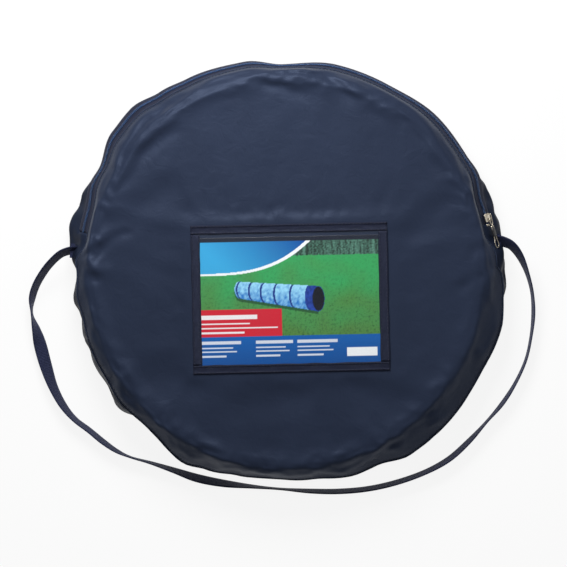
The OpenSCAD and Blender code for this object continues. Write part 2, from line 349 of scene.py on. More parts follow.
def repeat_tree(name, material):
    """Geometry Nodes that put small rounded pieces along a path, square to its 'up'."""
    tree = bpy.data.node_groups.new(name, "GeometryNodeTree")
    face = tree.interface
    face.new_socket("Geometry", in_out="INPUT", socket_type="NodeSocketGeometry")
    for label, value in (("Spacing", 0.004), ("Length", 0.003), ("Width", 0.001),
                         ("Height", 0.001), ("Turn", 0.0)):
        socket = face.new_socket(label, in_out="INPUT", socket_type="NodeSocketFloat")
        socket.default_value = value
    face.new_socket("Geometry", in_out="OUTPUT", socket_type="NodeSocketGeometry")
    nodes, links = tree.nodes, tree.links
    inp = nodes.new("NodeGroupInput")
    out = nodes.new("NodeGroupOutput")
    curve = nodes.new("GeometryNodeMeshToCurve")
    sample = nodes.new("GeometryNodeResampleCurve")
    sample.mode = "LENGTH"
    tangent = nodes.new("GeometryNodeInputTangent")
    up = nodes.new("GeometryNodeInputNamedAttribute")
    up.data_type = "FLOAT_VECTOR"
    up.inputs["Name"].default_value = "up"
    along = nodes.new("FunctionNodeAlignRotationToVector")
    along.axis = "X"
    stand = nodes.new("FunctionNodeAlignRotationToVector")
    stand.axis = "Z"
    stand.pivot_axis = "X"
    turn = nodes.new("FunctionNodeRotateRotation")
    turn.rotation_space = "LOCAL"
    angle = nodes.new("ShaderNodeCombineXYZ")
    bead = nodes.new("GeometryNodeMeshUVSphere")
    bead.inputs["Segments"].default_value = 6
    bead.inputs["Rings"].default_value = 5
    bead.inputs["Radius"].default_value = 0.5
    size = nodes.new("ShaderNodeCombineXYZ")
    place = nodes.new("GeometryNodeInstanceOnPoints")
    real = nodes.new("GeometryNodeRealizeInstances")
    shade = nodes.new("GeometryNodeSetShadeSmooth")
    paint = nodes.new("GeometryNodeSetMaterial")
    paint.inputs["Material"].default_value = material
    links.new(inp.outputs["Geometry"], curve.inputs["Mesh"])
    links.new(curve.outputs["Curve"], sample.inputs["Curve"])
    links.new(inp.outputs["Spacing"], sample.inputs["Length"])
    links.new(sample.outputs["Curve"], place.inputs["Points"])
    links.new(tangent.outputs["Tangent"], along.inputs["Vector"])
    links.new(along.outputs["Rotation"], stand.inputs["Rotation"])
    links.new(up.outputs["Attribute"], stand.inputs["Vector"])
    links.new(inp.outputs["Turn"], angle.inputs["Z"])
    links.new(stand.outputs["Rotation"], turn.inputs["Rotation"])
    links.new(angle.outputs["Vector"], turn.inputs["Rotate By"])
    links.new(turn.outputs["Rotation"], place.inputs["Rotation"])
    links.new(inp.outputs["Length"], size.inputs["X"])
    links.new(inp.outputs["Width"], size.inputs["Y"])
    links.new(inp.outputs["Height"], size.inputs["Z"])
    links.new(size.outputs["Vector"], place.inputs["Scale"])
    links.new(bead.outputs["Mesh"], place.inputs["Instance"])
    links.new(place.outputs["Instances"], real.inputs["Geometry"])
    links.new(real.outputs["Geometry"], shade.inputs["Geometry"])
    links.new(shade.outputs["Geometry"], paint.inputs["Geometry"])
    links.new(paint.outputs["Geometry"], out.inputs["Geometry"])
    return tree


def repeat_along(name, paths, ups, material, spacing, length, width, height, turn=0.0):
    """Small pieces along each path. ups holds a direction for each point of each path."""
    verts, edges, normals = [], [], []
    for path, directions in zip(paths, ups):
        start = len(verts)
        verts += [tuple(p) for p in path]
        normals += [tuple(u) for u in directions]
        edges += [(start + i, start + i + 1) for i in range(len(path) - 1)]
    mesh = bpy.data.meshes.new(name)
    mesh.from_pydata(verts, edges, [])
    attribute = mesh.attributes.new("up", "FLOAT_VECTOR", "POINT")
    attribute.data.foreach_set("vector", [x for u in normals for x in u])
    obj = bpy.data.objects.new(name, mesh)
    bpy.context.scene.collection.objects.link(obj)
    tree = repeat_tree(name + "_nodes", material)
    mod = obj.modifiers.new("repeat", "NODES")
    mod.node_group = tree
    values = {"Spacing": spacing, "Length": length, "Width": width, "Height": height,
              "Turn": turn}
    for item in tree.interface.items_tree:
        if item.in_out == "INPUT" and item.name in values:
            mod[item.identifier] = values[item.name]
    return bake_modifiers(obj)


# ------------------------------------------------------------------ materials


def shader_group(name, inputs, outputs):
    """An empty shader group with float inputs and float outputs."""
    group = bpy.data.node_groups.new(name, "ShaderNodeTree")
    for label, value in inputs:
        kind = "NodeSocketVector" if label == "Vector" else "NodeSocketFloat"
        socket = group.interface.new_socket(label, in_out="INPUT", socket_type=kind)
        if value is not None:
            socket.default_value = value
    for label in outputs:
        group.interface.new_socket(label, in_out="OUTPUT", socket_type="NodeSocketFloat")
    return group, group.nodes.new("NodeGroupInput"), group.nodes.new("NodeGroupOutput")


def math_node(tree, operation, a, b=0.5, clamp=False):
    node = tree.nodes.new("ShaderNodeMath")
    node.operation = operation
    node.use_clamp = clamp
    for socket, value in zip(node.inputs, (a, b)):
        if isinstance(value, (int, float)):
            socket.default_value = value
        else:
            tree.links.new(value, socket)
    return node.outputs[0]


def noise_node(tree, vector, scale, detail=2.0, rough=0.5, warp=0.0):
    node = tree.nodes.new("ShaderNodeTexNoise")
    node.inputs["Scale"].default_value = scale
    node.inputs["Detail"].default_value = detail
    node.inputs["Roughness"].default_value = rough
    node.inputs["Distortion"].default_value = warp
    tree.links.new(vector, node.inputs["Vector"])
    return node.outputs["Fac"]


def wave_node(tree, vector, scale, direction, warp=0.0):
    node = tree.nodes.new("ShaderNodeTexWave")
    node.bands_direction = direction
    node.inputs["Scale"].default_value = scale
    node.inputs["Distortion"].default_value = warp
    node.inputs["Detail"].default_value = 1.0
    tree.links.new(vector, node.inputs["Vector"])
    return node.outputs["Fac"]


def weave_group():
    """Plain weave and small creases: threads, soft wrinkles and uneven dye."""
    group, inp, out = shader_group(
        "Woven cloth", [("Vector", None), ("Threads", 260.0), ("Creases", 55.0)],
        ["Height", "Crease", "Tone"])
    vector = inp.outputs["Vector"]
    across = wave_node(group, vector, 1.0, "X", 1.2)
    along = wave_node(group, vector, 1.0, "Y", 1.2)
    for socket in (across, along):
        group.links.new(inp.outputs["Threads"], socket.node.inputs["Scale"])
    threads = math_node(group, "MULTIPLY", across, along)
    crease = noise_node(group, vector, 55.0, 3.0, 0.55, 0.6)
    group.links.new(inp.outputs["Creases"], crease.node.inputs["Scale"])
    ridge = math_node(group, "ABSOLUTE", math_node(group, "SUBTRACT", crease, 0.5))
    tone = noise_node(group, vector, 9.0, 4.0, 0.6, 0.4)
    group.links.new(threads, out.inputs["Height"])
    group.links.new(ridge, out.inputs["Crease"])
    group.links.new(tone, out.inputs["Tone"])
    return group


def rib_group():
    """Cross ribs and a woven edge for webbing and tape, on u across and v along in metres."""
    group, inp, out = shader_group(
        "Ribbed tape", [("Vector", None), ("Ribs", 200.0)], ["Height", "Tone"])
    vector = inp.outputs["Vector"]
    ribs = wave_node(group, vector, 1.0, "Y", 0.6)
    group.links.new(inp.outputs["Ribs"], ribs.node.inputs["Scale"])
    threads = wave_node(group, vector, 420.0, "X", 0.5)
    height = math_node(group, "ADD", ribs, math_node(group, "MULTIPLY", threads, 0.3))
    tone = noise_node(group, vector, 60.0, 3.0, 0.6)
    group.links.new(height, out.inputs["Height"])
    group.links.new(tone, out.inputs["Tone"])
    return group


def wear_group():
    """Fine scratches and cast of handled metal."""
    group, inp, out = shader_group(
        "Handled metal", [("Vector", None), ("Scale", 900.0)], ["Height", "Tone"])
    vector = inp.outputs["Vector"]
    fine = noise_node(group, vector, 900.0, 4.0, 0.6, 0.3)
    group.links.new(inp.outputs["Scale"], fine.node.inputs["Scale"])
    tone = noise_node(group, vector, 120.0, 3.0, 0.6)
    group.links.new(fine, out.inputs["Height"])
    group.links.new(tone, out.inputs["Tone"])
    return group


GROUPS = {}


def shared_group(name):
    makers = {"weave": weave_group, "rib": rib_group, "wear": wear_group}
    if name not in GROUPS:
        GROUPS[name] = makers[name]()
    return GROUPS[name]


def base_material(name, vector="Object"):
    mat = bpy.data.materials.new(name)
    mat.use_nodes = True
    tree = mat.node_tree
    shader = tree.nodes["Principled BSDF"]
    coords = tree.nodes.new("ShaderNodeTexCoord")
    return mat, tree, shader, coords.outputs[vector]


def tinted(tree, tone, colour, low, high):
    """The colour, darker and lighter over the surface by a tone from 0 to 1."""
    ramp = tree.nodes.new("ShaderNodeMix")
    ramp.data_type = "RGBA"
    ramp.inputs["A"].default_value = [c * low for c in colour[:3]] + [1]
    ramp.inputs["B"].default_value = [min(1, c * high) for c in colour[:3]] + [1]
    tree.links.new(tone, ramp.inputs["Factor"])
    return ramp.outputs["Result"]


def bump(tree, height, strength, distance, normal=None):
    node = tree.nodes.new("ShaderNodeBump")
    node.inputs["Strength"].default_value = strength
    node.inputs["Distance"].default_value = distance
    tree.links.new(height, node.inputs["Height"])
    if normal is not None:
        tree.links.new(normal, node.inputs["Normal"])
    return node.outputs["Normal"]


def cloth_material(name, colour, creases=55.0, crease_depth=0.0012, roughness=0.42,
                   sheen=0.06, sheen_tint=(0.55, 0.65, 0.85, 1), gloss=0.16):
    mat, tree, shader, vector = base_material(name)
    weave = tree.nodes.new("ShaderNodeGroup")
    weave.node_tree = shared_group("weave")
    weave.inputs["Creases"].default_value = creases
    tree.links.new(vector, weave.inputs["Vector"])
    tree.links.new(tinted(tree, weave.outputs["Tone"], colour, 0.82, 1.18),
                   shader.inputs["Base Color"])
    rough = math_node(tree, "MULTIPLY_ADD", weave.outputs["Tone"], 0.14)
    rough.node.inputs[2].default_value = roughness - 0.07
    tree.links.new(rough, shader.inputs["Roughness"])
    small = bump(tree, weave.outputs["Height"], 0.25, 0.0002)
    large = bump(tree, weave.outputs["Crease"], 0.5, crease_depth, small)
    tree.links.new(large, shader.inputs["Normal"])
    shader.inputs["Sheen Weight"].default_value = sheen
    shader.inputs["Sheen Roughness"].default_value = 0.45
    shader.inputs["Sheen Tint"].default_value = sheen_tint
    shader.inputs["Specular IOR Level"].default_value = gloss
    shader.inputs["Specular Tint"].default_value = (0.55, 0.68, 1.0, 1)
    return mat


def tape_material(name, colour, ribs=200.0, depth=0.0004, vector="UV"):
    mat, tree, shader, coords = base_material(name, vector)
    rib = tree.nodes.new("ShaderNodeGroup")
    rib.node_tree = shared_group("rib")
    rib.inputs["Ribs"].default_value = ribs
    tree.links.new(coords, rib.inputs["Vector"])
    # Base colour from the rib height and a random tone: painted shade in the rib grooves and painted
    # light on the ribs, with uneven dye.
    shade = math_node(tree, "MULTIPLY_ADD", rib.outputs["Height"], 0.35)
    tree.links.new(rib.outputs["Tone"], shade.node.inputs[2])
    tree.links.new(tinted(tree, shade, colour, 0.5, 1.25), shader.inputs["Base Color"])
    tree.links.new(bump(tree, rib.outputs["Height"], 0.7, depth), shader.inputs["Normal"])
    shader.inputs["Roughness"].default_value = 0.62
    shader.inputs["Specular IOR Level"].default_value = 0.25
    shader.inputs["Specular Tint"].default_value = (0.6, 0.68, 1.0, 1)
    shader.inputs["Sheen Weight"].default_value = 0.08
    shader.inputs["Sheen Tint"].default_value = (0.5, 0.55, 0.8, 1)
    return mat


def plastic_material(name, colour, roughness=0.35):
    mat, tree, shader, vector = base_material(name)
    tone = noise_node(tree, vector, 300.0, 3.0)
    tree.links.new(tinted(tree, tone, colour, 0.75, 1.25), shader.inputs["Base Color"])
    tree.links.new(bump(tree, tone, 0.15, 0.0001), shader.inputs["Normal"])
    shader.inputs["Roughness"].default_value = roughness
    return mat


def metal_material(name, colour, roughness=0.3):
    mat, tree, shader, vector = base_material(name)
    wear = tree.nodes.new("ShaderNodeGroup")
    wear.node_tree = shared_group("wear")
    tree.links.new(vector, wear.inputs["Vector"])
    tree.links.new(tinted(tree, wear.outputs["Tone"], colour, 0.8, 1.1),
                   shader.inputs["Base Color"])
    rough = math_node(tree, "MULTIPLY_ADD", wear.outputs["Height"], 0.2)
    rough.node.inputs[2].default_value = roughness - 0.1
    tree.links.new(rough, shader.inputs["Roughness"])
    tree.links.new(bump(tree, wear.outputs["Height"], 0.2, 0.0001), shader.inputs["Normal"])
    shader.inputs["Metallic"].default_value = 1.0
    return mat


def film_material():
    mat, tree, shader, vector = base_material("clear_film")
    haze = noise_node(tree, vector, 40.0, 3.0, 0.5)
    shader.inputs["Base Color"].default_value = (0.2, 0.24, 0.3, 1)
    alpha = math_node(tree, "MULTIPLY_ADD", haze, 0.03)
    alpha.node.inputs[2].default_value = 0.01
    tree.links.new(alpha, shader.inputs["Alpha"])
    tree.links.new(bump(tree, haze, 0.1, 0.0015), shader.inputs["Normal"])
    shader.inputs["Roughness"].default_value = 0.12
    shader.inputs["IOR"].default_value = 1.5
    return mat


def card_material():
    mat, tree, shader, vector = base_material("printed_card")
    print_colour = tree.nodes.new("ShaderNodeVertexColor")
    print_colour.layer_name = "print"
    grain = noise_node(tree, vector, 1500.0, 2.0)
    tree.links.new(print_colour.outputs["Color"], shader.inputs["Base Color"])
    tree.links.new(bump(tree, grain, 0.05, 0.0001), shader.inputs["Normal"])
    rough = math_node(tree, "MULTIPLY_ADD", grain, 0.1)
    rough.node.inputs[2].default_value = 0.3
    tree.links.new(rough, shader.inputs["Roughness"])
    shader.inputs["Specular IOR Level"].default_value = 0.25
    return mat


def floor_material():
    """Pale floor: white to the camera, with the object's soft shadow left in it."""
    mat = bpy.data.materials.new("floor")
    mat.use_nodes = True
    tree = mat.node_tree
    shader = tree.nodes["Principled BSDF"]
    shader.inputs["Base Color"].default_value = (0.86, 0.86, 0.86, 1)
    shader.inputs["Roughness"].default_value = 0.9
    glow = tree.nodes.new("ShaderNodeEmission")
    glow.inputs["Strength"].default_value = 1.0
    rays = tree.nodes.new("ShaderNodeLightPath")
    seen = math_node(tree, "MAXIMUM", rays.outputs["Is Camera Ray"],
                     rays.outputs["Is Glossy Ray"])
    seen = math_node(tree, "MAXIMUM", seen, rays.outputs["Is Transmission Ray"])
    share = math_node(tree, "MULTIPLY", seen, 0.88)
    mix = tree.nodes.new("ShaderNodeMixShader")
    tree.links.new(share, mix.inputs["Fac"])
    tree.links.new(shader.outputs["BSDF"], mix.inputs[1])
    tree.links.new(glow.outputs["Emission"], mix.inputs[2])
    tree.links.new(mix.outputs["Shader"], tree.nodes["Material Output"].inputs["Surface"])
    return mat


MATERIALS = {}


def shaded(colour, share):
    """The same colour, darker by a share."""
    return tuple(c * share for c in colour[:3]) + (1.0,)


def material(name):
    """A named finish, made once from the settings."""
    bag = bpy.context.scene.tunnel_bag
    makers = {
        "bag_cloth": lambda: cloth_material("bag_cloth", bag.cloth_colour),
        # Side band: the cover's cloth darkened to 0.8, painted shade on the band that faces away
        # from the lamps.
        "side_cloth_painted_shade": lambda: cloth_material("side_cloth_painted_shade", shaded(bag.cloth_colour, 0.8),
                                             sheen=0.0, gloss=0.03),
        "frame_tape": lambda: tape_material("frame_tape", bag.tape_colour, 330.0, 0.0002),
        "zip_tape": lambda: tape_material("zip_tape", bag.tape_colour, 400.0, 0.0002),
        "zip_coil": lambda: plastic_material("zip_coil", bag.zip_colour),
        "thread": lambda: plastic_material("thread", bag.thread_colour, 0.6),
        "webbing": lambda: tape_material("webbing", bag.webbing_colour),
        "webbing_end": lambda: tape_material("webbing_end", bag.webbing_colour, 200.0,
                                             0.0003, "Object"),
        "zip_metal": lambda: metal_material("zip_metal", (0.62, 0.56, 0.46), 0.28),
        "steel": lambda: metal_material("spring_steel", (0.62, 0.62, 0.6), 0.3),
        "ferrule": lambda: metal_material("ferrule_steel", (0.45, 0.45, 0.46), 0.42),
        "skin_light": lambda: cloth_material("skin_light", bag.skin_colour, 70.0),
        "skin_dark": lambda: cloth_material("skin_dark", bag.end_colour, 70.0),
        "channel": lambda: cloth_material("channel_cloth", bag.end_colour, 120.0, 0.0006),
        "grip": lambda: plastic_material("grip", (0.012, 0.012, 0.014), 0.4),
        "film": film_material,
        "card": card_material,
        "floor": floor_material,
    }
    if name not in MATERIALS:
        MATERIALS[name] = makers[name]()
    return MATERIALS[name]


# ------------------------------------------------------------------ bag outline

ZIP_SHARE = 0.20
SEAM_SHARE = 0.38
BAND_SHARE = 0.05
ZIP_SPREAD = 28 * MM
RIM_SWELL = 5 * MM
# Where the front seam has slipped down to the rim: angle in degrees and share
SEAM_DROP = [
    (5, 0), (188, 0), (200, 0.1), (228, 0.15), (243, 0.9), (262, 1), (325, 1), (345, 1),
    (355, 0.7),
]
# How firmly the zip's ends hold the cloth to their place: angle in degrees and share
ZIP_HOLD = [
    (3, 0), (9, 1), (18, 1), (30, 0), (150, 0), (162, 1), (171, 1), (177, 0),
]
SEAM_Z = ZIP_Z + 6 * MM
BAND_Z = ZIP_Z - 6 * MM
RIM_Z = 18 * MM
HOOP_EDGE = HOOP_R + 1.5 * MM


def rim_radius(angle):
    """Outer radius of the loose bag at an angle in radians."""
    return BAG_R + RIM_SWELL + smooth_loop(RIM_WAVES, math.degrees(angle)) * MM


def seam_drop(angle):
    """0 where the front seam stands up on the shoulder and 1 where it has slipped to the rim."""
    return smooth_loop(SEAM_DROP, math.degrees(angle))


def seam_radius(angle, share):
    """Radius a share of the way in from the rim, held to the zip's own near its two ends."""
    rim = rim_radius(angle)
    loose = rim - (rim - HOOP_EDGE) * share
    held = ZIP_R + (ZIP_SHARE - share) * ZIP_SPREAD
    return loose + (held - loose) * smooth_loop(ZIP_HOLD, math.degrees(angle))


def polar(radius, angle, z):
    return Vector((radius * math.cos(angle), radius * math.sin(angle), z))


def seam_point(angle):
    low = seam_drop(angle)
    share = SEAM_SHARE + (0.04 - SEAM_SHARE) * low
    return polar(seam_radius(angle, share), angle, SEAM_Z - 13 * MM * low)


def zip_point(angle):
    return polar(seam_radius(angle, ZIP_SHARE), angle, ZIP_Z)


def band_point(angle):
    low = seam_drop(angle)
    return polar(seam_radius(angle, BAND_SHARE * (1 - low)), angle, BAND_Z - 6 * MM * low)


def zip_frame(angle):
    """Along, down the slope, and outwards at a place on the zip."""
    step = 0.004
    along = (zip_point(angle + step) - zip_point(angle - step)).normalized()
    down = (band_point(angle) - seam_point(angle)).normalized()
    down = (down - along * down.dot(along)).normalized()
    return along, down, down.cross(along).normalized()


WINDOW_PAD = 4 * MM


def window_share(x, y):
    """1 under the window pocket and 0 a little way outside it."""
    low_x, high_x = TAPE_LEFT_LOW.x - WINDOW_PAD, TAPE_RIGHT_HIGH.x + WINDOW_PAD
    low_y, high_y = TAPE_BOTTOM_LOW.y - WINDOW_PAD, TAPE_TOP_HIGH.y + WINDOW_PAD
    gap = max(low_x - x, x - high_x, low_y - y, y - high_y, 0)
    return max(0.0, 1.0 - gap / (6 * MM))


# ------------------------------------------------------------------ bag cloth

ANGLES = 240
FRONT_ROWS = 46
GUSSET_ROWS = 16
BAND_ROW = 3


def front_row(angle):
    """Points of the front panel from the middle out to its seam, at one angle."""
    end = seam_point(angle)
    seam = math.hypot(end.x, end.y)
    shape = [(0.004, BAG_H), (HOOP_R - 12 * MM, BAG_H), (HOOP_R - 2 * MM, BAG_H - 0.5 * MM),
             (HOOP_R + 2.2 * MM, BAG_H - 3.5 * MM),
             (HOOP_R * 0.45 + seam * 0.55, end.z * 0.5 + BAG_H * 0.5), (seam, end.z)]
    shape = catmull(shape, 8)
    lengths = [0.0]
    for a, b in zip(shape, shape[1:]):
        lengths.append(lengths[-1] + float(np.hypot(*(b - a))))
    shape = np.array(shape)
    return [(float(np.interp(s, lengths, shape[:, 0])), float(np.interp(s, lengths, shape[:, 1])))
            for s in np.linspace(0, lengths[-1], FRONT_ROWS)]


def gusset_row(angle):
    """Points of the gusset from the front seam down to the back panel, at one angle."""
    rim = rim_radius(angle)
    seam, band = seam_point(angle), band_point(angle)
    shape = [(math.hypot(seam.x, seam.y), seam.z), (math.hypot(band.x, band.y), band.z),
             (rim, RIM_Z), (rim - 1.5 * MM, 10 * MM), (rim - 8 * MM, 3.4 * MM),
             (min(rim - 16 * MM, BACK_R), 0.6 * MM)]
    rows = np.array(shape)
    at = np.linspace(0, len(shape) - 1, GUSSET_ROWS)
    return [(float(np.interp(t, range(len(shape)), rows[:, 0])),
             float(np.interp(t, range(len(shape)), rows[:, 1]))) for t in at]


def column_quads(start, rows):
    """Quads between the columns of points that stand side by side round the bag."""
    return [(start + k * rows + j, start + k * rows + j + 1,
             start + (k + 1) % ANGLES * rows + j + 1, start + (k + 1) % ANGLES * rows + j)
            for k in range(ANGLES) for j in range(rows - 1)]


def cloth_start():
    """Points of the whole bag cloth before it settles, and how firmly each is held."""
    front, gusset, hold_f, hold_g = [], [], [], []
    for k in range(ANGLES):
        angle = 2 * math.pi * k / ANGLES
        rows = front_row(angle)
        front.append([polar(r, angle, z) for r, z in rows])
        hold_f.append([1.0 if j == FRONT_ROWS - 1 else window_share(p.x, p.y)
                       for j, p in enumerate(front[-1])])
        rows = gusset_row(angle)
        gusset.append([polar(r, angle, z) for r, z in rows])
        zipped = ZIP_START < angle < math.pi - ZIP_START
        hold_g.append([1.0 if j in (0, GUSSET_ROWS - 1) or (zipped and j <= BAND_ROW) else 0.0
                       for j in range(GUSSET_ROWS)])
    return front, gusset, hold_f, hold_g


def settle_stack():
    """What the cloth lies on: the folded skin with the top hoop standing proud at its edge."""
    outline = [(0.001, 0.0535), (HOOP_R - 14 * MM, 0.054), (HOOP_R - 6 * MM, 0.0552),
               (HOOP_R - 2.5 * MM, 0.056), (HOOP_R + 0.4 * MM, 0.0552),
               (HOOP_R + 4 * MM, 0.0528), (HOOP_R + 7.5 * MM, 0.0486),
               (HOOP_R + 9.5 * MM, 0.043), (HOOP_R + 9.5 * MM, 0.004)]
    verts = [polar(r, 2 * math.pi * k / 96, z) for r, z in outline for k in range(96)]
    obj = new_mesh("settle_stack", verts, grid_faces(len(outline), 96, True))
    fix_normals(obj)
    obj.modifiers.new("collision", "COLLISION")
    obj.collision.thickness_outer = 0.001
    obj.collision.cloth_friction = 8
    return obj


def settle_floor():
    size = 0.6
    verts = [(-size, -size, 0), (size, -size, 0), (size, size, 0), (-size, size, 0)]
    obj = new_mesh("settle_floor", verts, [(0, 1, 2, 3)])
    obj.modifiers.new("collision", "COLLISION")
    obj.collision.thickness_outer = 0.0008
    return obj


def settle(obj, settings):
    """Lets the oversized cloth drop and buckle between its seams."""
    stack, ground = settle_stack(), settle_floor()
    mod = obj.modifiers.new("cloth", "CLOTH")
    cloth = mod.settings
    cloth.quality = 7
    cloth.mass = 0.12
    cloth.tension_stiffness = 18
    cloth.compression_stiffness = 12
    cloth.shear_stiffness = 6
    cloth.bending_stiffness = 0.35
    cloth.tension_damping = 6
    cloth.compression_damping = 6
    cloth.air_damping = 1.5
    cloth.shrink_min = -settings.looseness
    cloth.vertex_group_mass = "hold"
    cloth.pin_stiffness = 1.0
    mod.collision_settings.use_collision = True
    mod.collision_settings.distance_min = 0.0012
    mod.collision_settings.use_self_collision = False
    scene = bpy.context.scene
    scene.frame_start, scene.frame_end = 1, settings.settle_frames
    mod.point_cache.frame_start = 1
    mod.point_cache.frame_end = settings.settle_frames
    for f in range(1, settings.settle_frames + 1):
        scene.frame_set(f)
    bake_modifiers(obj)
    scene.frame_set(1)
    for o in (stack, ground):
        bpy.data.objects.remove(o)


SETTLE_LIMIT = 16 * MM


def pull_in(points, starts, limit):
    """Keeps each settled point within a distance of where it began."""
    out = []
    for p, s in zip(points, starts):
        d = Vector(p) - s
        out.append(s + d * min(1.0, limit / max(d.length, 1e-9)))
    return out


FOLD_DEPTH = 1.35
# Creases that the packed cloth keeps: from x, y to x, y, width and depth, all in mm
FOLDS = [
    (-197, 20, -176, 40, 5, 2.2), (-176, 40, -160, 44, 4, 1.4), (-206, 0, -192, -4, 5, 2.6),
    (-30, 196, 22, 182, 5, 1.8), (36, 206, 72, 176, 6, 2.0), (118, 158, 150, 128, 6, 1.6),
    (186, 8, 214, 36, 5, 1.6), (176, -22, 206, -6, 6, 1.6), (-150, 120, -112, 150, 7, 1.8),
    (-128, 168, -96, 178, 5, 1.4), (140, -164, 156, -178, 5, 2.6),
    (96, -190, 104, -178, 4, 2.2), (-60, -140, 20, -128, 16, 1.4),
    (-150, -96, -86, -118, 18, 1.2), (60, -118, 150, -150, 16, 1.2),
    (-160, 60, -110, 96, 14, 1.2), (120, 30, 178, 74, 14, 1.2),
]


def hand_folds(x, y):
    """Rise and fall of the kept creases at a place on the cover, in metres."""
    height = 0.0
    for ax, ay, bx, by, wide, deep in FOLDS:
        dx, dy = bx - ax, by - ay
        length = math.hypot(dx, dy)
        t = ((x / MM - ax) * dx + (y / MM - ay) * dy) / length**2
        off = ((x / MM - ax) * -dy + (y / MM - ay) * dx) / length
        ends = clamped((t + 0.15) / 0.3) * clamped((1.15 - t) / 0.3)
        bow = off - 0.12 * length * (0.25 - (t - 0.5) ** 2)
        height += ends * deep * MM * (0.6 * math.exp(-((bow - wide) / wide) ** 2)
                                      - math.exp(-(bow / wide) ** 2))
    return height


def build_cloth(settings):
    """Settles the cloth once and keeps its points by place: front rows and gusset rows."""
    front, gusset, hold_f, hold_g = cloth_start()
    verts = [p for column in front for p in column] + [p for column in gusset for p in column]
    holds = [h for column in hold_f for h in column] + [h for column in hold_g for h in column]
    faces = column_quads(0, FRONT_ROWS) + column_quads(ANGLES * FRONT_ROWS, GUSSET_ROWS)
    obj = new_mesh("bag_settling", verts, faces)
    group = obj.vertex_groups.new(name="hold")
    for i, h in enumerate(holds):
        if h > 0:
            group.add([i], h, "REPLACE")
    settle(obj, settings)
    settled = [v.co.copy() for v in obj.data.vertices]
    bpy.data.objects.remove(obj)
    verts = pull_in(settled, verts, SETTLE_LIMIT)
    count = ANGLES * FRONT_ROWS
    front = [verts[k * FRONT_ROWS:(k + 1) * FRONT_ROWS] for k in range(ANGLES)]
    gusset = [verts[count + k * GUSSET_ROWS:count + (k + 1) * GUSSET_ROWS]
              for k in range(ANGLES)]
    front = roll_shoulder(calm(front))
    for k in range(ANGLES):
        for j in range(1, FRONT_ROWS - 1):
            p = front[k][j]
            free = 1 - window_share(p.x, p.y)
            z = p.z + free * FOLD_DEPTH * hand_folds(p.x, p.y)
            front[k][j] = Vector((p.x, p.y, under_card_path(p.x, p.y, z)))
        angle = 2 * math.pi * k / ANGLES
        for j in range(GUSSET_ROWS):
            p = gusset[k][j]
            out = math.hypot(p.x, p.y)
            most = rim_radius(angle) + 1.5 * MM
            scale = min(1.0, most / out)
            gusset[k][j] = Vector((p.x * scale, p.y * scale, max(p.z, 0.5 * MM)))
    return front, gusset


CALM_PASSES = 4


def calm(front):
    """Softens the finest creases inside the hoops, as the taut taffeta does."""
    height = np.array([[p.z for p in column] for column in front])
    radius = np.array([[math.hypot(p.x, p.y) for p in column] for column in front])
    share = np.clip((HOOP_R - 4 * MM - radius) / (20 * MM), 0, 1) * 0.5
    for _ in range(CALM_PASSES):
        around = (np.roll(height, 1, 0) + np.roll(height, -1, 0)) / 2
        height = height + share * (around - height)
    return [[Vector((p.x, p.y, float(z))) for p, z in zip(column, row)]
            for column, row in zip(front, height)]


def height_above(column, radii, radius):
    """Height of the topmost layer of one column of cloth at a radius."""
    best = column[-1].z
    for j in range(len(column) - 1):
        low, high = sorted((j, j + 1), key=lambda k: radii[k])
        if radii[low] <= radius <= radii[high]:
            share = (radius - radii[low]) / max(radii[high] - radii[low], 1e-9)
            best = max(best, column[low].z + (column[high].z - column[low].z) * share)
    return best


SHOULDER_START = HOOP_R - 6 * MM
SHOULDER_TOP = BAG_H - 0.6 * MM
SHOULDER_CURVE = 1.7
BRIDGED = 0.85


def roll_shoulder(front):
    """Opens folded-over rows and bridges the gutter between the hoops' ridge and the seam."""
    start = SHOULDER_START
    rolled = []
    for k, column in enumerate(front):
        angle = 2 * math.pi * k / ANGLES
        radii = [math.hypot(p.x, p.y) for p in column]
        first = next(j for j, r in enumerate(radii) if r > start)
        seam, end = column[-1], len(column) - 1
        row = list(column[:first])
        for j in range(first, end):
            share = (j - first + 1) / (end - first + 1)
            radius = radii[first - 1] + (radii[end] - radii[first - 1]) * share
            z = height_above(column, radii, radius)
            t = clamped((radius - start) / (radii[end] - start))
            full = seam.z + (SHOULDER_TOP - seam.z) * (1 - t ** SHOULDER_CURVE)
            row.append(polar(radius, angle, z + max(0.0, full - z) * BRIDGED))
        rolled.append(row + [seam])
    return rolled


CARD_PATH_MARGIN = 8 * MM


def under_card_path(x, y, z):
    """Height kept below the path along which the card slides out to the right."""
    across = min(y - CARD_LOW.y, CARD_HIGH.y - y) + CARD_PATH_MARGIN
    ahead = x - CARD_HIGH.x + CARD_PATH_MARGIN
    near = clamped(across / (6 * MM)) * clamped(ahead / (6 * MM))
    top = BAG_H - 0.1 * MM
    room = 1.2 * MM
    if near == 0 or z < top - room:
        return z
    low = top - room * math.exp(-(z - top + room) / room)
    return z + (low - z) * near


CLOTH = {}


def settled_cloth():
    if not CLOTH:
        CLOTH["front"], CLOTH["gusset"] = build_cloth(bpy.context.scene.tunnel_bag)
    return CLOTH["front"], CLOTH["gusset"]


def zip_angles(count, margin=0.0):
    start, end = ZIP_START - margin, math.pi - ZIP_START + margin
    return [start + (end - start) * i / (count - 1) for i in range(count)]


def bend_at_fold(obj):
    """The piece belongs to the fixed panel below the fold and to the flap above it."""
    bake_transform(obj)
    return obj


